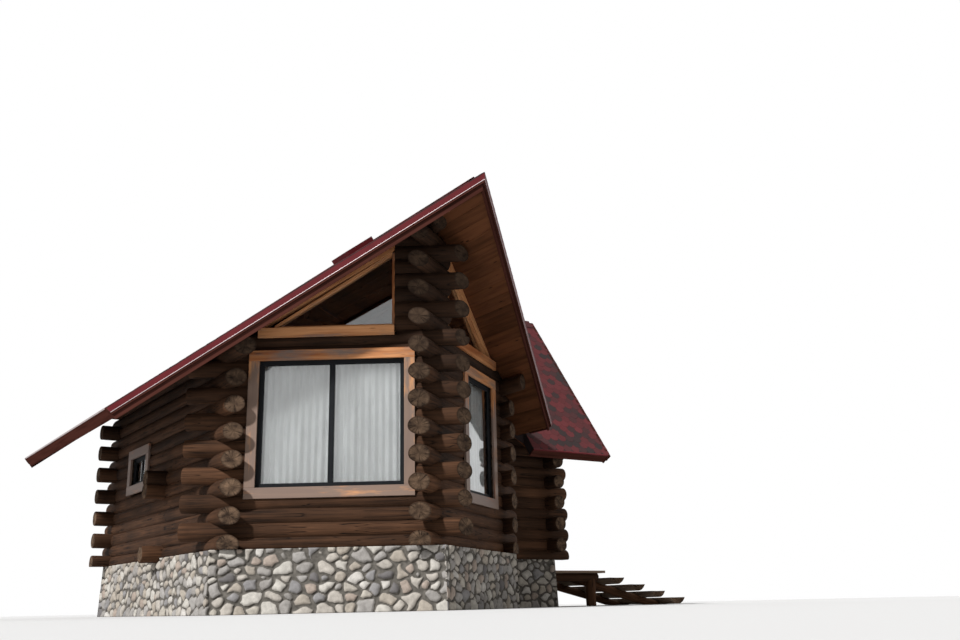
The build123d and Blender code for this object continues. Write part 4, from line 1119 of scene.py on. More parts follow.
def tab_rows(slope):
    """Hexagon-cut shingle tabs of a slope: for each its places along the ridge and its
    distances out, at the foot, at the shoulders and at the head."""
    tab, exposure = sizes().tab_width, sizes().exposure
    step = exposure / slope.lean
    for n in range(int(slope.run / step) + 1):
        foot = slope.run - n * step
        outs = np.maximum([foot, foot - TAB_SHOULDER * step, foot - TAB_HEAD * step], 0.0)
        if foot < LAST_COURSE:
            continue
        spans = [slope.spans(out, VERGE) for out in outs]
        for piece in range(len(spans[0])):
            limits = [s[piece] for s in spans]
            first = min(low for low, _ in limits)
            last = max(high for _, high in limits)
            start = math.floor(first / tab) * tab + (tab / 2 if n % 2 else 0.0) - tab
            left = np.arange(start, last + tab, tab)
            sides = [left + TAB_JOINT, left + tab - TAB_JOINT]
            corners = np.stack([left + TAB_FOOT[0] * tab, left + TAB_FOOT[1] * tab, *sides, *sides], -1)
            for m in range(3):
                corners[:, 2 * m:2 * m + 2] = np.clip(corners[:, 2 * m:2 * m + 2], *limits[m])
            wide = np.maximum(corners[:, 3] - corners[:, 2], corners[:, 5] - corners[:, 4])
            yield outs, corners[wide > NARROWEST_TAB]


def shingles(surface, slope, rng):
    """Lays the tabs. Each is a thin wedge, thick at its foot, with two cut corners."""
    tops, lows = [], []
    for outs, corners in tab_rows(slope):
        butt = rng.uniform(*TAB_BUTT, len(corners))
        out = np.array([outs[0], outs[0], outs[1], outs[1], outs[2], outs[2]])
        lift = np.stack([butt, butt, 0.75 * butt, 0.75 * butt, 0 * butt + 0.001, 0 * butt + 0.001], -1)
        place = np.broadcast_to(out, corners.shape)
        tops.append(np.stack(slope.at(corners, place, SKIN - lift), -1))
        lows.append(np.stack(slope.at(corners, place, SKIN + 0 * lift), -1))
    points = np.concatenate([np.concatenate(tops), np.concatenate(lows)], 1)
    one = points[len(points) // 2]
    up = np.cross(one[1] - one[0], one[3] - one[1])[2] > 0
    faces = TAB_FACES if up else TAB_FACES[:, ::-1]
    count = len(points)
    quads = (faces[None] + 12 * np.arange(count)[:, None, None]).reshape(-1, 4)
    middle = points[:, :6].mean(1)
    waves = [np.sin(middle @ np.array(way)) for way in ((2.1, 1.7, 2.9), (-1.3, 2.3, 0.7))]
    drift = 0.5 + 0.5 * waves[0] * waves[1]
    tone = np.clip(0.7 * rng.uniform(0, 1, count) + 0.3 * drift, 0, 1)
    surface.add(points.reshape(-1, 3), quads, (0.0, 0.0, 0.0), np.repeat(tone, 12), 0)


def slope_bar(surface, slope, outs, depths, spans, rng, finish=0, square=False):
    """A timber along a slope between two distances out and two depths, from one span
    end to the other at each distance out. The outer side is cut square at the eave."""
    corners = []
    for end in (0, 1):
        for n, depth in ((0, depths[0]), (1, depths[0]), (1, depths[1]), (0, depths[1])):
            out = slope.reach(depth) if n and square else outs[n]
            corners.append(slope.at(spans[n][end], out, depth))
    bar(surface, corners, rng, finish)


def roof_piece(slope):
    """One slope: a deck, courses of tabs whose feet stand up from the one below, and
    soffit boards that run along the ridge, all within the slab's thickness."""
    rng = np.random.default_rng(21 + 7 * SLOPES.index(slope))
    surface = Surface()
    shingles(surface, slope, rng)
    stops = [0.0, VALLEY * RIGHT_EAVE, slope.run] if slope.wing else [0.0, slope.run]
    for a, b in zip(stops, stops[1:]):
        for near, far in zip(slope.spans(a), slope.spans(b)):
            slope_bar(surface, slope, (a, b), (SKIN, slope.drop - PLY - DECK_GAP), (near, far), rng, 1,
                      b == slope.run)
    width = sizes().board / slope.lean
    limit = slope.reach(slope.drop - PLY / 2)
    for n in range(int(math.ceil(limit / width))):
        a, b = n * width + SOFFIT_JOINTS[0], min((n + 1) * width - SOFFIT_JOINTS[1], limit)
        for near, far in zip(slope.spans(a), slope.spans(b)):
            shortest = min(near[1] - near[0], far[1] - far[0])
            if b - a > NARROWEST_BOARD and shortest > SHORTEST_BOARD:
                slope_bar(surface, slope, (a, b), (slope.drop - PLY, slope.drop), (near, far), rng, 2)
    surface.build("roof_" + slope.name, [shingle_cover(), dark_edge(), soffit_wood()],
                  [ROOF_NODES[slope.name]], smooth=False)


def ridge_piece():
    """Ridge caps: folded tabs that lap each other like scales along both ridges."""
    rng = np.random.default_rng(31)
    surface = Surface()
    main, wing = SLOPES[0], SLOPES[2]

    def cap(slope, thick_end, thin_end, fold):
        points = []
        for along, lift in ((thick_end, CAP_LIFT), (thin_end, 0.0)):
            for thick in (0.0, CAP_THICK):
                for side in (-1, 0, 1):
                    x, y, z = slope.at(along, abs(side) * fold, -0.0005 - lift - thick)
                    points.append((x, WING_MID_Y + side * fold, z) if slope.wing else (side * fold, y, z))
        points = np.array(points)
        flip = (thin_end > thick_end) == slope.wing
        faces = CAP_FACES[:, ::-1] if flip else CAP_FACES
        surface.add(points, faces, (0.0, 0.0, 0.0), rng.uniform(0, 1), 0)

    first = TIP_Y + RAKE_SLOPE * 0.15 + FRONT_STOP
    for low, high in ((first, WING_MID_Y - CROSSING_STOP), (WING_MID_Y + CROSSING_STOP, REAR_Y - END_STOP)):
        for along in np.arange(low, high - SHORTEST_CAP, CAP_STEP):
            cap(main, along, min(along + CAP_LENGTH, high), MAIN_FOLD)
    for along in np.arange(WING_RAKE_X - END_STOP, WING_STOP, -CAP_STEP):
        cap(wing, along, along - CAP_LENGTH, WING_FOLD)
    surface.build("ridge_tabs", [shingle_cover()], ["ridge_caps"], smooth=False)


# How far a rake board runs past the eave, and the room where two boards meet.
RAKE_PAST = 0.035
SEAM = 0.0006


def rake_bar(surface, slope, end, overs, depths, rng, finish=0):
    """A board along a slanting end, between two distances over it and two depths, sawn
    square to the slope at the eave."""
    corners = []
    for foot in (False, True):
        for n, depth in ((0, depths[0]), (1, depths[0]), (1, depths[1]), (0, depths[1])):
            out = slope.reach(depth, RAKE_PAST) if foot else SEAM
            corners.append(slope.at(slope.ends(out, overs[n])[end], out, depth))
    bar(surface, corners, rng, finish)


def eave_bar(surface, slope, past, depths, spans, rng, finish=0):
    """A board along an eave, between two distances past it and two depths square to the
    slope. Spans are its ends along the ridge, or None for the slope's own."""
    for stop in spans:
        corners = []
        for end in (0, 1):
            for reach, depth in ((past[0], depths[0]), (past[1], depths[0]), (past[1], depths[1]),
                                 (past[0], depths[1])):
                out = slope.run + reach / slope.lean - depth * slope.slope / slope.lean
                fall = (out - slope.run) * slope.slope
                below = (reach * slope.slope + depth) / slope.lean - fall
                along = stop[end] if stop[end] is not None else slope.ends(out, -SEAM)[end]
                corners.append(slope.at(along, out, below))
        bar(surface, corners, rng, finish)


# The slanting ends that carry boards: the slope's number, and 0 for the front end or 1 for
# the other.
RAKES = [(0, 0), (1, 0), (0, 1), (1, 1), (2, 1), (3, 1)]

# Distances over the slanting end or past the eave of each board and strip, and with the
# strips their depths and their finish, which is 0 for red, 1 for the pale painted highlight and 2 for dark.
INNER_RAKE, OUTER_RAKE = (0.0, 0.035), (0.0352, 0.07)
INNER_TOP, OUTER_TOP = 0.01, 0.0105
RAKE_STEP = 0.06
EAVE_BOARD, EAVE_PAST = (0.0, 0.031), 0.015
# The last strip, finish 1, is the hem's pale painted highlight.
RAKE_STRIPS = [((0.0705, 0.0785), (0.016, 0.0295), 2), ((0.0705, 0.079), (0.03, 0.128), 0),
               ((0.0705, 0.0794), (0.1282, 0.14), 1)]
DRIP_STRIPS = [((0.0313, 0.035), (0.002, 0.026)), ((0.0, 0.0312), (0.002, 0.0095))]


def eave_stops(slope):
    """The stretches of eave board of a slope. The right eave is broken by the wing."""
    if slope.wing:
        return [(RIGHT_EAVE, None)]
    if slope.side < 0:
        return [(None, None)]
    stop = WING_EAVE + RAKE_PAST + SEAM
    return [(None, WING_MID_Y - stop), (WING_MID_Y + stop, None)]


def fascia_piece():
    """Boards along the roof's edges: two stepped ones on each slanting end, one on each eave."""
    rng = np.random.default_rng(41)
    surface = Surface()
    for n, end in RAKES:
        slope = SLOPES[n]
        rake_bar(surface, slope, end, INNER_RAKE, (INNER_TOP, slope.drop + RAKE_STEP), rng)
        rake_bar(surface, slope, end, OUTER_RAKE, (OUTER_TOP, slope.drop - RAKE_STEP), rng)
    for slope in SLOPES:
        eave_bar(surface, slope, EAVE_BOARD, (INNER_TOP, ROOF_THICK + EAVE_PAST), eave_stops(slope), rng)
    surface.build("roof_edge_boards", [stained_wood()], ["rake_fascias", "eave_fascias"],
                  smooth=False, bevel=0.004)


def edge_metal_piece():
    """Folded metal edges: a red upright strip over each slanting end with a pale hem at its
    foot, and a drip strip over each eave board, pale on the main roof and red on the wing.
    The pale colour is a painted highlight along the metal's fold."""
    rng = np.random.default_rng(42)
    surface = Surface()
    for n, end in RAKES:
        for overs, depths, finish in RAKE_STRIPS:
            rake_bar(surface, SLOPES[n], end, overs, depths, rng, finish)
    for slope in SLOPES:
        for past, depths in DRIP_STRIPS:
            # The main roof's drip strips get the pale painted highlight.
            eave_bar(surface, slope, past, depths, eave_stops(slope), rng, 0 if slope.wing else 1)
    surface.build("roof_edge_metal", [red_metal(), hem_highlight_metal(), dark_edge()],
                  ["rake_flashings"], smooth=False, bevel=0.0015)


# Windows and door


# Casing boards: how far they lap over the opening and reach past it, their faces, how far
# the uprights stand back, and half a joint. Faces are distances inwards from the wall's
# middle, the outer one first.
CASING_LAP = 0.045
CASING_OUT = 0.12
CASING_FACES = (-0.17, -0.1253)
UPRIGHT_BACK = 0.003
CASING_JOINT = 0.001

# Window frame, the sash in it, the post between two panes and the bead round a pane.
FRAME_WIDE, FRAME_FACES = 0.06, (-0.09, -0.02)
SASH_WIDE, SASH_FACES = 0.04, (-0.084, -0.026)
PANE_INSET = 0.1
POST_HALF = 0.03
BEAD_WIDE, BEAD_FACES = 0.012, ((-0.0785, -0.0672), (-0.0428, -0.032))

# Gables: height and faces of the sill beam and of the slanting beam, the cover strips'
# width and faces, and how far from the pane's outer tip the level and the slanting strip
# stop.
SILL_BEAM, SILL_FACES = 0.16, (-0.17, 0.08)
SLANT_BEAM, SLANT_HALF = 0.2, 0.075
STRIP_WIDE, STRIP_FACES = 0.045, ((-0.07, -0.012), (0.012, 0.05))
LEVEL_STOP, SLANT_STOP = 0.14, 0.09

# Curtains: how far each stops below the head, over the foot, from the side and from the
# middle, its place inwards, and the points for each fold and down the cloth.
CURTAIN_HEAD, CURTAIN_FOOT, CURTAIN_SIDE, CURTAIN_PART = 0.0306, 0.03, 0.06, 0.03
CURTAIN_Y = 0.065
FOLD_POINTS, CURTAIN_ROWS = 14, 40

# Door: width of the frame and of frame and gap, height of the threshold, number of boards,
# faces of boards and ledges, and the height, radius and corners of the handle. A handle's
# corner is its distance from the edge and its place inwards.
DOOR_FRAME, DOOR_EDGE = 0.0697, 0.0703
THRESHOLD = 0.05
DOOR_BOARDS = 7
BOARD_FACES, LEDGE_FACES = (-0.083, -0.055), (-0.0547, -0.0273)
HANDLE_Z, HANDLE_RADIUS, HANDLE_POINTS = 2.0, 0.0095, 20
HANDLE = [(0.09, -0.083), (0.09, -0.12), (0.095, -0.128), (0.105, -0.132), (0.21, -0.132),
          (0.215, -0.132)]


def board_ring(surface, wall, outer, inner, y, rng):
    """Four boards round a hole: the head and the foot run through."""
    (s0, s1, z0, z1), (a0, a1, b0, b1) = outer, inner
    spans = [((s0, y[0], b1), (s1, y[1], z1), 0), ((s0, y[0], z0), (s1, y[1], b0), 0),
             ((s0, y[0], b0), (a0, y[1], b1), 2), ((a1, y[0], b0), (s1, y[1], b1), 2)]
    for low, high, axis in spans:
        block(surface, low, high, rng, axis, wall.at)


def casing_piece():
    """Broad boards round the windows, four each, and round the doorway, which has no foot
    board. Head and foot boards stand a little proud of the uprights."""
    rng = np.random.default_rng(51)
    surface = Surface()
    out, lap = CASING_OUT, CASING_LAP
    face, back = CASING_FACES

    def uprights(wall, s0, s1, low, high):
        for a, b in ((s0 - out, s0 + lap), (s1 - lap, s1 + out)):
            block(surface, (a, face + UPRIGHT_BACK, low), (b, back, high), rng, 2, wall.at)

    for wall, s0, s1, z0, z1, _ in WINDOWS:
        block(surface, (s0 - out, face, z1 - lap), (s1 + out, back, z1 + out), rng, 0, wall.at)
        block(surface, (s0 - out, face, z0 - out), (s1 + out, back, z0 + lap), rng, 0, wall.at)
        uprights(wall, s0, s1, z0 + lap + CASING_JOINT, z1 - lap - CASING_JOINT)
    wall, s0, s1, z0, z1, _ = DOORWAY
    uprights(wall, s0, s1, z0 + CASING_JOINT, z1 - lap - CASING_JOINT)
    block(surface, (s0 - out, face, z1 - lap), (s1 + out, back, z1 + out), rng, 0, wall.at)
    surface.build("casing_boards", [pine()], ["window_casings", "door_casing"], smooth=False,
                  bevel=0.005)


def sash_piece():
    """The window frames: an outer frame, a sash round each pane in it, and beads on both
    sides of the pane."""
    rng = np.random.default_rng(52)
    surface = Surface()
    for wall, s0, s1, z0, z1, panes in WINDOWS:
        s0, s1, z0, z1 = s0 + CLEARANCE, s1 - CLEARANCE, z0 + CLEARANCE, z1 - CLEARANCE
        foot, head = z0 + FRAME_WIDE, z1 - FRAME_WIDE
        board_ring(surface, wall, (s0, s1, z0, z1), (s0 + FRAME_WIDE, s1 - FRAME_WIDE, foot, head),
                   FRAME_FACES, rng)
        low, high = z0 + PANE_INSET, z1 - PANE_INSET
        clear = s1 - s0 - 2 * PANE_INSET - (panes - 1) * 2 * POST_HALF
        for n in range(panes):
            a = s0 + PANE_INSET + n * (clear / panes + 2 * POST_HALF)
            b = a + clear / panes
            left = a - (SASH_WIDE if n == 0 else POST_HALF)
            right = b + (SASH_WIDE if n == panes - 1 else POST_HALF)
            board_ring(surface, wall, (left, right, foot, head), (a, b, low, high), SASH_FACES, rng)
            bead = (a + BEAD_WIDE, b - BEAD_WIDE, low + BEAD_WIDE, high - BEAD_WIDE)
            for face in BEAD_FACES:
                board_ring(surface, wall, (a, b, low, high), bead, face, rng)
    surface.build("window_sashes", [plain_finish("Grey paint", look().frame_grey, 0.45)],
                  ["window_frames"], smooth=False, bevel=0.003)


def from_corner(wall, s):
    """Distance along a front wall, counted from the front corner."""
    return wall.length - s if wall is PROW_LEFT else s


def wall_under(wall, s):
    """Height of the main roof's underside over a front wall."""
    return RIDGE_Z - MAIN_DROP - MAIN_SLOPE * abs(wall.at([s, 0.0, 0.0])[0])


def gable_piece():
    """Sill beams and slanting beams of the glazed gables, with slim posts and cover
    strips round the three-cornered panes."""
    rng = np.random.default_rng(53)
    surface = Surface()
    top = GABLE_SILL_Z + SILL_BEAM
    for wall in (PROW_LEFT, PROW_RIGHT):
        near = from_corner(wall, GABLE_NEAR + CLEARANCE)
        far = from_corner(wall, GABLE_FAR - CLEARANCE)
        s0, s1 = min(near, far), max(near, far)
        outer, inner = SILL_FACES
        block(surface, (s0, outer, GABLE_SILL_Z + CLEARANCE), (s1, inner, top), rng, 0, wall.at)
        room = wall_under(wall, from_corner(wall, 0)) - SLANT_BEAM - top
        meet_s = from_corner(wall, room / MAIN_SLOPE * wall.length / HALF_WIDTH)
        corners = []
        for s in (near, far):
            for y, upper in ((-1, True), (1, True), (1, False), (-1, False)):
                p = wall.at([s, y * SLANT_HALF, 0.0])
                roof = float(under_roof(p[0], p[1])) - ROOF_GAP
                foot = max(wall_under(wall, s) - SLANT_BEAM, top + CLEARANCE)
                corners.append((*p[:2], roof if upper else foot))
        bar(surface, corners, rng)
        strip = STRIP_WIDE
        low_near = wall_under(wall, near) - SLANT_BEAM
        step = strip * math.sqrt(1 + (MAIN_SLOPE * HALF_WIDTH / wall.length) ** 2)
        way = 1 if near > far else -1
        inset = from_corner(wall, GABLE_NEAR + 2 * CLEARANCE)
        for y in STRIP_FACES:
            low, high = sorted((inset, inset - way * strip))
            block(surface, (low, y[0], top + CLEARANCE), (high, y[1], low_near - 0.03), rng, 2, wall.at)
            low, high = sorted((inset - way * strip, meet_s + way * LEVEL_STOP))
            block(surface, (low, y[0], top + CLEARANCE), (high, y[1], top + strip), rng, 0, wall.at)
            corners = []
            for s in (inset - way * strip, meet_s + way * SLANT_STOP):
                zt = wall_under(wall, s) - SLANT_BEAM - 0.0005
                for yy, z in ((y[0], zt), (y[1], zt), (y[1], zt - step), (y[0], zt - step)):
                    corners.append(wall.at([s, yy, z]))
            bar(surface, corners, rng)
    surface.build("gable_beams", [pine()], ["gable_sills", "raking_beams"], smooth=False,
                  bevel=0.004)


def curtain_pieces():
    """The curtains: one cloth each, in even folds. Its depth is a sine of the place over
    its width, a little deeper lower down and a little shifted by another sine."""
    rng = np.random.default_rng(61)
    cloth = cloth_finish()
    for side, (wall, s0, s1, z0, z1, _) in (("left", WINDOWS[0]), ("right", WINDOWS[1])):
        middle = (s0 + s1) / 2
        top, foot = z1 - CURTAIN_HEAD, z0 + CURTAIN_FOOT
        halves = [(s0 + CURTAIN_SIDE, middle - CURTAIN_PART), (middle + CURTAIN_PART, s1 - CURTAIN_SIDE)]
        for n, (a, b) in enumerate(halves):
            width = b - a
            folds = max(4, int(round(width / sizes().fold)))
            u = np.linspace(0, 1, folds * FOLD_POINTS + 1)
            v = np.linspace(0, 1, CURTAIN_ROWS)
            U, V = np.meshgrid(u, v, indexing="ij")
            phase = rng.uniform(0, 6, 3)
            turn = U * folds * 2 * np.pi
            deep = 0.018 + 0.012 * V + 0.004 * np.sin(U * 9 + phase[0])
            y = CURTAIN_Y + deep * np.sin(turn + 0.25 * np.sin(V * 3 + phase[1]))
            s = a + width * U + 0.008 * V * np.sin(turn * 0.5 + phase[2])
            s = np.clip(s, a, b)
            z = top - (top - foot) * V
            points = wall.at(np.stack([s, y, z], -1))
            arc = np.sqrt((np.diff(points, axis=0) ** 2).sum(-1)).sum(0).mean()
            grain = np.stack([U * arc, (top - foot) * V, np.full_like(U, float(n))], -1)
            surface = Surface()
            surface.add(points, grid_quads(*U.shape), grain.reshape(-1, 3), 0.5)
            name = f"curtain_{side}_{n + 1}"
            piece = surface.build(name, [cloth], ["curtains_" + side])


def door_piece():
    """The door: upright boards with open joints, three ledges, a frame and a handle."""
    rng = np.random.default_rng(71)
    surface = Surface()
    wall, s0, s1, z0, z1, _ = DOORWAY
    s0, s1, z0, z1 = s0 + CLEARANCE, s1 - CLEARANCE, z0 + CLEARANCE, z1 - CLEARANCE
    face, back = FRAME_FACES
    sill = PLINTH_TOP + THRESHOLD
    block(surface, (s0, face, z0), (s1, back, sill), rng, 0, wall.at)
    block(surface, (s0, face, z1 - DOOR_FRAME), (s1, back, z1), rng, 0, wall.at)
    for a, b in ((s0, s0 + DOOR_FRAME), (s1 - DOOR_FRAME, s1)):
        block(surface, (a, face, sill + 0.0005), (b, back, z1 - DOOR_FRAME - 0.0005), rng, 2, wall.at)
    a, b = s0 + DOOR_EDGE, s1 - DOOR_EDGE
    low, high = sill + 0.0006, z1 - DOOR_EDGE
    edges = np.linspace(a, b, DOOR_BOARDS + 1)
    face, back = BOARD_FACES
    for p, q in zip(edges, edges[1:]):
        block(surface, (p + 0.0015, face, low), (q - 0.0015, back, high), rng, 2, wall.at)
    face, back = LEDGE_FACES
    for z in (low + 0.2, (low + high) / 2, high - 0.25):
        block(surface, (a + 0.03, face, z - 0.06), (b - 0.03, back, z + 0.06), rng, 0, wall.at)
    surface.build("boarded_door", [pine()], ["door", "door_frame"], smooth=False, bevel=0.003)
    metal = Surface()
    around = np.linspace(0, 2 * np.pi, HANDLE_POINTS, endpoint=False)
    path = np.array([[b - over, inwards, HANDLE_Z] for over, inwards in HANDLE])
    ahead = unit(np.gradient(path, axis=0))
    side = unit(np.cross(ahead, (0.0, 0.0, 1.0)))
    reach = np.array([HANDLE_RADIUS] * (len(HANDLE) - 1) + [0.0])[:, None, None]
    rings = path[:, None] + reach * (np.cos(around)[:, None] * side[:, None]
                                     + np.sin(around)[:, None] * np.array([0.0, 0.0, 1.0]))
    quads = grid_quads(len(path), HANDLE_POINTS, close_cols=True)[:, ::-1]
    metal.add(wall.at(rings), quads, (0.0, 0.0, 0.0), 0.5)
    metal.build("door_handle", [brushed_steel()])


# Steps, floor and the rest


# Landing: its top, the underside of its boards, where it begins clear of the plinth and
# where it ends, half its length along the wall, its boards' step, and the top of the logs
# under them.
LANDING_Z = 0.72
BOARDS_FOOT = 0.67
LANDING_X = WING_END_X + 0.1 + PLINTH_BATTER * (1 - BOARDS_FOOT / PLINTH_TOP) + CLEARANCE
LANDING_END = LANDING_X + 1.6
LANDING_HALF = 1.15
LANDING_BOARD = 0.1437
BEARER_TOP = 0.6695

# The logs under the landing: distance from the wing's middle, height, length and radius of
# the bearers, and distances from the landing's ends, length and radius of the posts.
BEARER_SIDE, BEARER_Z, BEARER_LONG, BEARER_RADIUS = 0.95, 0.59, 1.5, 0.093
POST_NEAR, POST_FAR, POST_LONG, POST_RADIUS = 0.16, 0.26, 0.56, 0.103

# Steps: their number, rise and going, how far the first one's middle lies past the
# landing, and a slabbed log's radius and depth.
TREADS = 4
RISE = LANDING_Z / (TREADS + 1)
GOING = 0.6
FIRST_TREAD = 0.33
TREAD_RADIUS, TREAD_DEPTH = 0.22, 0.135

# The logs under the steps: distance from the wing's middle, radius in the solid model and
# here, how deep the treads sit in them, and how far they run on past the first and the
# last step's middle.
RAIL_SIDE, RAIL_SOLID, RAIL_RADIUS, RAIL_NOTCH = 0.62, 0.085, 0.084, 0.025
RAIL_BACK, RAIL_ON = 0.85, 0.12

# Floor: the boards' step and thickness, and their distance from the walls' logs.
FLOOR_BOARD, FLOOR_THICK, FLOOR_INSET = 0.142, 0.04, 0.01

# Ridge logs: how far the main one runs on in front of the corner, and the wing one's
# radius in the solid model and here, its flat and its start.
RIDGE_FRONT = 0.3
WING_LOG_SOLID, WING_LOG_RADIUS, WING_LOG_FLAT, WING_LOG_START = 0.158, 0.156, 0.012, 0.05


def tread_surface(surface, x, top, rng):
    """A slabbed log: the lower part of a round, sawn flat on top. The flat sinks by 4 mm
    times 1 less the square of the place over its width, from -1 to 1."""
    radius, depth, half = TREAD_RADIUS, TREAD_DEPTH, LANDING_HALF
    reach = math.acos((radius - depth) / radius)
    angle = np.linspace(-reach, reach, 22)
    y = np.linspace(-half, half, 34)
    Y, T = np.meshgrid(y, angle, indexing="ij")
    phase = rng.uniform(0, 6, 4)
    r = radius * (1 + 0.01 * np.sin(Y * 3 + phase[0]) + 0.008 * np.sin(5 * T + phase[1]))
    widest = radius * math.sin(reach)
    px = x + np.clip(r * np.sin(T), -widest, widest)
    pz = np.minimum(top + (radius - depth) - r * np.cos(T), top)
    pz[:, 0] = pz[:, -1] = top
    across = np.linspace(px[:, -1], px[:, 0], 9, axis=1)[:, 1:-1]
    dish = top - 0.004 * (1 - np.linspace(-1, 1, 9)[1:-1] ** 2)[None, :] * (1 + 0.3 * np.sin(Y[:, :7] * 2))
    ring_x = np.concatenate([px, across], 1)
    ring_z = np.concatenate([pz, dish], 1)
    ring_y = np.broadcast_to(y[:, None], ring_x.shape)
    points = np.stack([ring_x, WING_MID_Y + ring_y, np.maximum(ring_z, 0.0)], -1)
    number = rng.uniform(0, 100)
    n = ring_x.shape[1]
    grain = np.stack([ring_y, np.broadcast_to(np.linspace(0, 0.9, n), ring_y.shape),
                      np.full(ring_y.shape, number)], -1)
    tone = rng.uniform(0, 1)
    surface.add(points, grid_quads(len(y), n, close_cols=True), grain.reshape(-1, 3), tone, 0)
    for ring, flip in ((points[0], True), (points[-1], False)):
        rho = np.array([1.0, 0.75, 0.45, 0.05])
        centre = ring.mean(0)
        disc = centre + (ring - centre) * rho[:, None, None]
        local = (disc - centre) / radius
        flat = np.stack([local[..., 0], local[..., 2], np.full(local.shape[:2], number)], -1)
        quads = grid_quads(len(rho), n, close_cols=True)
        surface.add(disc, quads[:, ::-1] if flip else quads, flat.reshape(-1, 3), tone, 1)


def steps_piece():
    """The entrance steps: slabbed logs with the flat side up."""
    rng = np.random.default_rng(81)
    surface = Surface()
    for n in range(TREADS):
        tread_surface(surface, LANDING_END + FIRST_TREAD + GOING * n, LANDING_Z - RISE * (n + 1), rng)
    surface.build("slab_steps", [deck_wood(), log_finishes()[1]], ["entrance_steps"])


def landing_piece():
    """The landing's boards with open joints, its bearers and posts, and the stringers."""
    rng = np.random.default_rng(82)
    boards = Surface()
    edges = WING_MID_Y + np.arange(-LANDING_HALF, LANDING_HALF + 0.0001, LANDING_BOARD)
    foot = BOARDS_FOOT + CLEARANCE
    for a, b in zip(edges, edges[1:]):
        block(boards, (LANDING_X, a + 0.003, foot), (LANDING_END, b - 0.003, LANDING_Z), rng, 0)
    boards.build("landing_boards", [deck_wood()], ["landing"], smooth=False, bevel=0.004)
    under = Surface()

    def hold(points):
        points[..., 2] = np.clip(points[..., 2], 0.0, BEARER_TOP)
        return points

    for side in (-1, 1):
        y = WING_MID_Y + side * BEARER_SIDE
        log_surface(under, (LANDING_X, y, BEARER_Z), (1, 0, 0), BEARER_LONG, BEARER_RADIUS, rng, limit=hold)
        for x in (LANDING_X + POST_NEAR, LANDING_END - POST_FAR):
            log_surface(under, (x, y, 0.0), (0, 0, 1), POST_LONG, POST_RADIUS, rng, limit=hold)
    under.build("landing_timbers", log_finishes(), ["landing_supports"])
    slope = RISE / GOING
    lean = math.sqrt(1 + slope ** 2)
    x1 = LANDING_END + FIRST_TREAD
    z1 = LANDING_Z - RISE - TREAD_DEPTH - (RAIL_SOLID - RAIL_NOTCH) * lean
    rails = Surface()
    start_x = x1 - RAIL_BACK
    end_x = x1 + GOING * (TREADS - 1) + RAIL_ON
    long = (end_x - start_x) * lean

    def hold_rail(points):
        points = hold(points)
        points[..., 0] = np.minimum(points[..., 0], end_x)
        return points

    for side in (-1, 1):
        start = (start_x, WING_MID_Y + side * RAIL_SIDE, z1 + slope * (x1 - start_x))
        log_surface(rails, start, (1, 0, -slope), long, RAIL_RADIUS, rng, limit=hold_rail)
    rails.build("stair_stringers", log_finishes(), ["step_stringers"])


def floor_piece():
    """The floor's boards, run along the house and stopped at the walls."""
    rng = np.random.default_rng(91)
    surface = Surface()
    low, high = PLINTH_TOP + CLEARANCE, PLINTH_TOP + FLOOR_THICK
    inset = LOG_RADIUS + FLOOR_INSET
    edges = np.arange(-HALF_WIDTH + inset, HALF_WIDTH - inset + 0.001, FLOOR_BOARD)
    half = PROW_DEPTH / HALF_WIDTH
    lean = inset / math.cos(math.atan(half))
    for a, b in zip(edges, edges[1:]):
        ya, yb = half * abs(a) + lean, half * abs(b) + lean
        end = BACK_Y - inset
        plan = [(a + 0.001, ya), (a + 0.001, end), (b - 0.001, end), (b - 0.001, yb)]
        prism(surface, plan, [high] * 4, high - low, rng)
    x0 = float(edges[-1])
    for a in np.arange(F[1] + inset, G[1] - inset - 0.14, FLOOR_BOARD):
        block(surface, (x0 + 0.002, a, low), (WING_END_X - inset, a + 0.14, high), rng, 0)
    surface.build("floor_planks", [wood_finish("Planed floor", FLOOR_LIGHT, FLOOR_DARK, 0.4)],
                  ["floor_boards"], smooth=False, bevel=0.002)


def ridge_log_piece():
    """The two ridge logs, flattened under the roof."""
    rng = np.random.default_rng(95)
    surface = Surface()

    def hold(points):
        roof = under_roof(points[..., 0], points[..., 1]) - ROOF_GAP
        points[..., 2] = np.minimum(points[..., 2], roof)
        return points

    z = course_z(STACK_COURSES)
    long = BACK_Y + CORNER_STUB + RIDGE_FRONT
    log_surface(surface, (0, -RIDGE_FRONT, z), (0, 1, 0), long, LOG_RADIUS - 0.002, rng, limit=hold)
    z = RIDGE_Z - WING_DROP - (WING_LOG_SOLID - WING_LOG_FLAT) * math.sqrt(1 + WING_SLOPE ** 2)
    long = WING_END_X + CORNER_STUB - WING_LOG_START
    start = (WING_LOG_START, WING_MID_Y, z)
    log_surface(surface, start, (1, 0, 0), long, WING_LOG_RADIUS, rng, limit=hold)
    surface.build("ridge_timbers", log_finishes(), ["ridge_logs"])


def dress_nodes():
    """Finishes on the parts that the solid model shows as they are."""
    glass = glass_finish()
    for name, finish in (("roof_window_frame", red_metal()), ("roof_window_glass", glass),
                         ("window_glass", glass), ("gable_glass", glass),
                         ("curtain_rails", brushed_steel())):
        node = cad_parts[name]
        node.data.materials.clear()
        node.data.materials.append(finish)


# Stage


# Camera: its place in metres, its turns in degrees, and its focal length and the picture's
# width in pixels.
EYE = (-8.017, -12.855, 0.06)
YAW, PITCH, ROLL = 34.893, 16.07, -1.244
FOCAL_PIXELS, PICTURE_PIXELS = 990.327, 960
SENSOR = 36.0

# Lamps: name, strength, and in degrees the width and the two turns. Then the light from
# all sides, its colour and its strength, and the floor's half width and height.
LAMPS = [("key", 4.3, 4, 52, -71), ("fill", 0.2, 60, 60, 70)]
SOFT_COLOUR, SOFT_STRENGTH = (1.0, 0.97, 0.93, 1.0), 0.28
WHITE = (1.0, 1.0, 1.0, 1.0)
FLOOR_HALF, FLOOR_Z = 60, -0.002


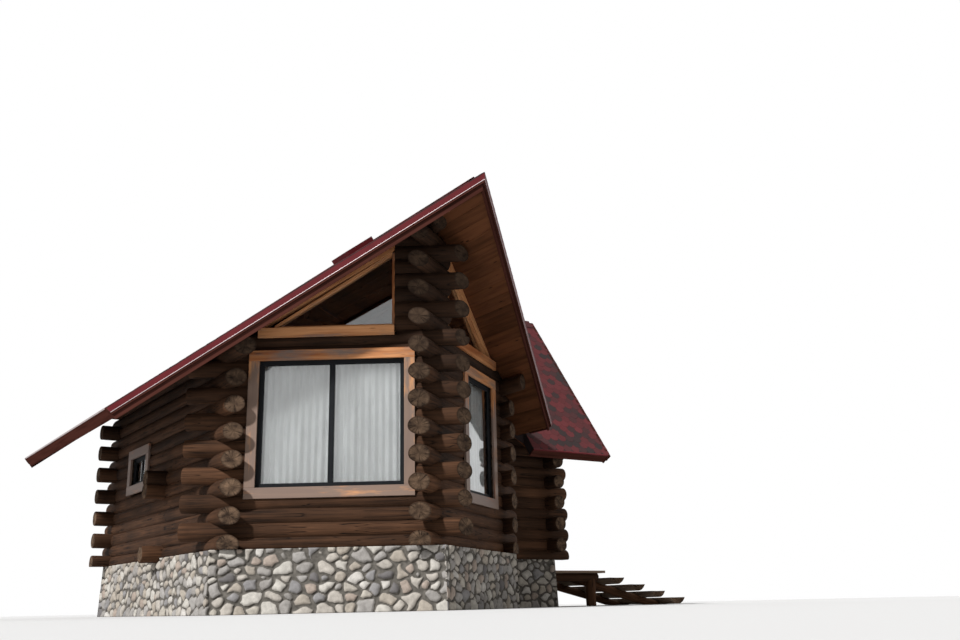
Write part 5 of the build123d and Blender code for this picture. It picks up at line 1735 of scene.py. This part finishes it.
def build_stage():
    """Camera, soft light, pale floor and a white surround."""
    scene = bpy.context.scene
    a, b, r = (math.radians(x) for x in (YAW, PITCH, ROLL))
    ahead = np.array([math.sin(a) * math.cos(b), math.cos(a) * math.cos(b), math.sin(b)])
    level = np.array([math.cos(a), -math.sin(a), 0.0])
    over = np.cross(level, ahead)
    right = level * math.cos(r) + over * math.sin(r)
    up = -level * math.sin(r) + over * math.cos(r)
    data = bpy.data.cameras.new("Camera")
    data.sensor_fit, data.sensor_width = "HORIZONTAL", SENSOR
    data.lens = SENSOR * (FOCAL_PIXELS / PICTURE_PIXELS)
    data.clip_start, data.clip_end = 0.1, 400.0
    camera = bpy.data.objects.new("Camera", data)
    scene.collection.objects.link(camera)
    turn = Matrix([(right[n], up[n], -ahead[n]) for n in range(3)])
    camera.matrix_world = Matrix.Translation(EYE) @ turn.to_4x4()
    scene.camera = camera
    scene.view_settings.view_transform = "Standard"

    mesh = bpy.data.meshes.new("ground")
    corners = [(x * FLOOR_HALF, y * FLOOR_HALF, FLOOR_Z) for x, y in ((-1, -1), (1, -1), (1, 1), (-1, 1))]
    mesh.from_pydata(corners, [], [(0, 1, 2, 3)])
    ground = bpy.data.objects.new("ground", mesh)
    scene.collection.objects.link(ground)
    pale = Finish("Pale floor")
    mesh.materials.append(pale.set(Base_Color=(0.72, 0.72, 0.72, 1.0), Roughness=0.8))
    for name, energy, angle, turn_x, turn_z in LAMPS:
        lamp = bpy.data.lights.new(name, "SUN")
        lamp.energy, lamp.angle = energy, math.radians(angle)
        light = bpy.data.objects.new(name, lamp)
        light.rotation_euler = (math.radians(turn_x), 0.0, math.radians(turn_z))
        scene.collection.objects.link(light)

    world = bpy.data.worlds.new("Surround")
    scene.world = world
    world.use_nodes = True
    tree = world.node_tree
    tree.nodes.clear()
    path = tree.nodes.new("ShaderNodeLightPath")
    seen = None
    for name in ("Is Camera Ray", "Is Glossy Ray", "Is Transmission Ray"):
        if seen is None:
            seen = path.outputs[name]
            continue
        more = tree.nodes.new("ShaderNodeMath")
        more.operation = "MAXIMUM"
        tree.links.new(seen, more.inputs[0])
        tree.links.new(path.outputs[name], more.inputs[1])
        seen = more.outputs[0]
    soft = tree.nodes.new("ShaderNodeBackground")
    soft.inputs[0].default_value, soft.inputs[1].default_value = SOFT_COLOUR, SOFT_STRENGTH
    white = tree.nodes.new("ShaderNodeBackground")
    white.inputs[0].default_value, white.inputs[1].default_value = WHITE, 1.0
    blend = tree.nodes.new("ShaderNodeMixShader")
    out = tree.nodes.new("ShaderNodeOutputWorld")
    tree.links.new(seen, blend.inputs[0])
    tree.links.new(soft.outputs[0], blend.inputs[1])
    tree.links.new(white.outputs[0], blend.inputs[2])
    tree.links.new(blend.outputs[0], out.inputs[0])


# Operators and panel


WALL_PIECES = [
    ("logs_prow_left", [PROW_LEFT], ["prow_left_logs_even", "prow_left_logs_odd"]),
    ("logs_prow_right", [PROW_RIGHT], ["prow_right_logs_even", "prow_right_logs_odd"]),
    ("logs_left_side", [LEFT_SIDE], ["left_side_logs_even", "left_side_logs_odd"]),
    ("logs_right_side", [RIGHT_FRONT, RIGHT_REAR], ["right_side_logs_even", "right_side_logs_odd"]),
    ("logs_wing_front", [WING_FRONT], ["wing_front_logs_even", "wing_front_logs_odd"]),
    ("logs_wing_end", [WING_END], ["wing_end_logs_even", "wing_end_logs_odd"]),
    ("logs_wing_rear", [WING_REAR], ["wing_rear_logs_even", "wing_rear_logs_odd"]),
    ("logs_back_wall", [BACK], ["back_wall_logs_even", "back_wall_logs_odd"])]


class CABIN_OT_walls(bpy.types.Operator):
    """Builds the log walls, one piece for each stretch of wall."""
    bl_idname = "cabin.walls"
    bl_label = "Log walls"

    def execute(self, context):
        for n, (name, walls, nodes) in enumerate(WALL_PIECES):
            wall_piece(name, walls, nodes, 101 + n)
        return {"FINISHED"}


class CABIN_OT_ridge_logs(bpy.types.Operator):
    """Builds the logs under both ridges."""
    bl_idname = "cabin.ridge_logs"
    bl_label = "Ridge logs"

    def execute(self, context):
        ridge_log_piece()
        return {"FINISHED"}


class CABIN_OT_plinth(bpy.types.Operator):
    """Builds the plinth of rounded stones in mortar."""
    bl_idname = "cabin.plinth"
    bl_label = "Fieldstone plinth"

    def execute(self, context):
        plinth_piece()
        return {"FINISHED"}


class CABIN_OT_roof_slopes(bpy.types.Operator):
    """Builds the four slopes with their shingles and soffit boards."""
    bl_idname = "cabin.roof_slopes"
    bl_label = "Roof slopes"

    def execute(self, context):
        for slope in SLOPES:
            roof_piece(slope)
        return {"FINISHED"}


class CABIN_OT_ridge_tabs(bpy.types.Operator):
    """Builds the folded tabs along both ridges."""
    bl_idname = "cabin.ridge_tabs"
    bl_label = "Ridge tabs"

    def execute(self, context):
        ridge_piece()
        return {"FINISHED"}


class CABIN_OT_edge_boards(bpy.types.Operator):
    """Builds the boards along the roof's ends and eaves."""
    bl_idname = "cabin.edge_boards"
    bl_label = "Edge boards"

    def execute(self, context):
        fascia_piece()
        return {"FINISHED"}


class CABIN_OT_edge_metal(bpy.types.Operator):
    """Builds the folded metal along the roof's ends and eaves."""
    bl_idname = "cabin.edge_metal"
    bl_label = "Edge metal"

    def execute(self, context):
        edge_metal_piece()
        return {"FINISHED"}


class CABIN_OT_casings(bpy.types.Operator):
    """Builds the boards round the windows and the doorway."""
    bl_idname = "cabin.casings"
    bl_label = "Casings"

    def execute(self, context):
        casing_piece()
        return {"FINISHED"}


class CABIN_OT_sashes(bpy.types.Operator):
    """Builds the window frames."""
    bl_idname = "cabin.sashes"
    bl_label = "Sashes"

    def execute(self, context):
        sash_piece()
        return {"FINISHED"}


class CABIN_OT_gable_beams(bpy.types.Operator):
    """Builds the sills, the slanting beams and their trim."""
    bl_idname = "cabin.gable_beams"
    bl_label = "Gable beams"

    def execute(self, context):
        gable_piece()
        return {"FINISHED"}


class CABIN_OT_curtains(bpy.types.Operator):
    """Builds the folded curtains."""
    bl_idname = "cabin.curtains"
    bl_label = "Curtains"

    def execute(self, context):
        curtain_pieces()
        return {"FINISHED"}


class CABIN_OT_door(bpy.types.Operator):
    """Builds the door, its frame and its handle."""
    bl_idname = "cabin.door"
    bl_label = "Door"

    def execute(self, context):
        door_piece()
        return {"FINISHED"}


class CABIN_OT_steps(bpy.types.Operator):
    """Builds the steps of split logs."""
    bl_idname = "cabin.steps"
    bl_label = "Steps"

    def execute(self, context):
        steps_piece()
        return {"FINISHED"}


class CABIN_OT_landing(bpy.types.Operator):
    """Builds the landing and what carries it."""
    bl_idname = "cabin.landing"
    bl_label = "Landing"

    def execute(self, context):
        landing_piece()
        return {"FINISHED"}


class CABIN_OT_floor(bpy.types.Operator):
    """Builds the floor planks."""
    bl_idname = "cabin.floor"
    bl_label = "Floor"

    def execute(self, context):
        floor_piece()
        return {"FINISHED"}


class CABIN_OT_plain_parts(bpy.types.Operator):
    """Gives the parts that are shown as they are their finishes."""
    bl_idname = "cabin.plain_parts"
    bl_label = "Plain parts"

    def execute(self, context):
        dress_nodes()
        return {"FINISHED"}


class CABIN_OT_stage(bpy.types.Operator):
    """Sets the camera, the light and the floor."""
    bl_idname = "cabin.stage"
    bl_label = "Stage"

    def execute(self, context):
        build_stage()
        return {"FINISHED"}


OPERATORS = [CABIN_OT_walls, CABIN_OT_ridge_logs, CABIN_OT_plinth, CABIN_OT_roof_slopes,
             CABIN_OT_ridge_tabs, CABIN_OT_edge_boards, CABIN_OT_edge_metal, CABIN_OT_casings,
             CABIN_OT_sashes, CABIN_OT_gable_beams, CABIN_OT_curtains, CABIN_OT_door, CABIN_OT_steps,
             CABIN_OT_landing, CABIN_OT_floor, CABIN_OT_plain_parts, CABIN_OT_stage]


class CABIN_PT_panel(bpy.types.Panel):
    """Lists the cabin's builders with its sizes and colours."""
    bl_idname = "CABIN_PT_panel"
    bl_label = "Log cabin"
    bl_space_type = "VIEW_3D"
    bl_region_type = "UI"
    bl_category = "Log cabin"

    def draw(self, context):
        for operator in OPERATORS:
            self.layout.operator(operator.bl_idname)
        for group in (context.scene.cabin_sizes, context.scene.cabin_look):
            for key in type(group).__annotations__:
                self.layout.prop(group, key)


CLASSES = [CabinLook, CabinSizes, *OPERATORS, CABIN_PT_panel]


def register():
    """Registers the classes and the settings."""
    for each in CLASSES:
        bpy.utils.register_class(each)
    bpy.types.Scene.cabin_look = bpy.props.PointerProperty(type=CabinLook)
    bpy.types.Scene.cabin_sizes = bpy.props.PointerProperty(type=CabinSizes)


def unregister():
    """Takes the settings and the classes away."""
    del bpy.types.Scene.cabin_sizes
    del bpy.types.Scene.cabin_look
    for each in reversed(CLASSES):
        bpy.utils.unregister_class(each)


def main():
    """Builds everything."""
    register()
    bpy.ops.cabin.walls()
    bpy.ops.cabin.ridge_logs()
    bpy.ops.cabin.plinth()
    bpy.ops.cabin.roof_slopes()
    bpy.ops.cabin.ridge_tabs()
    bpy.ops.cabin.edge_boards()
    bpy.ops.cabin.edge_metal()
    bpy.ops.cabin.casings()
    bpy.ops.cabin.sashes()
    bpy.ops.cabin.gable_beams()
    bpy.ops.cabin.curtains()
    bpy.ops.cabin.door()
    bpy.ops.cabin.steps()
    bpy.ops.cabin.landing()
    bpy.ops.cabin.floor()
    bpy.ops.cabin.plain_parts()
    bpy.ops.cabin.stage()
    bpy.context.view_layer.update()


if __name__ == "__main__":
    main()
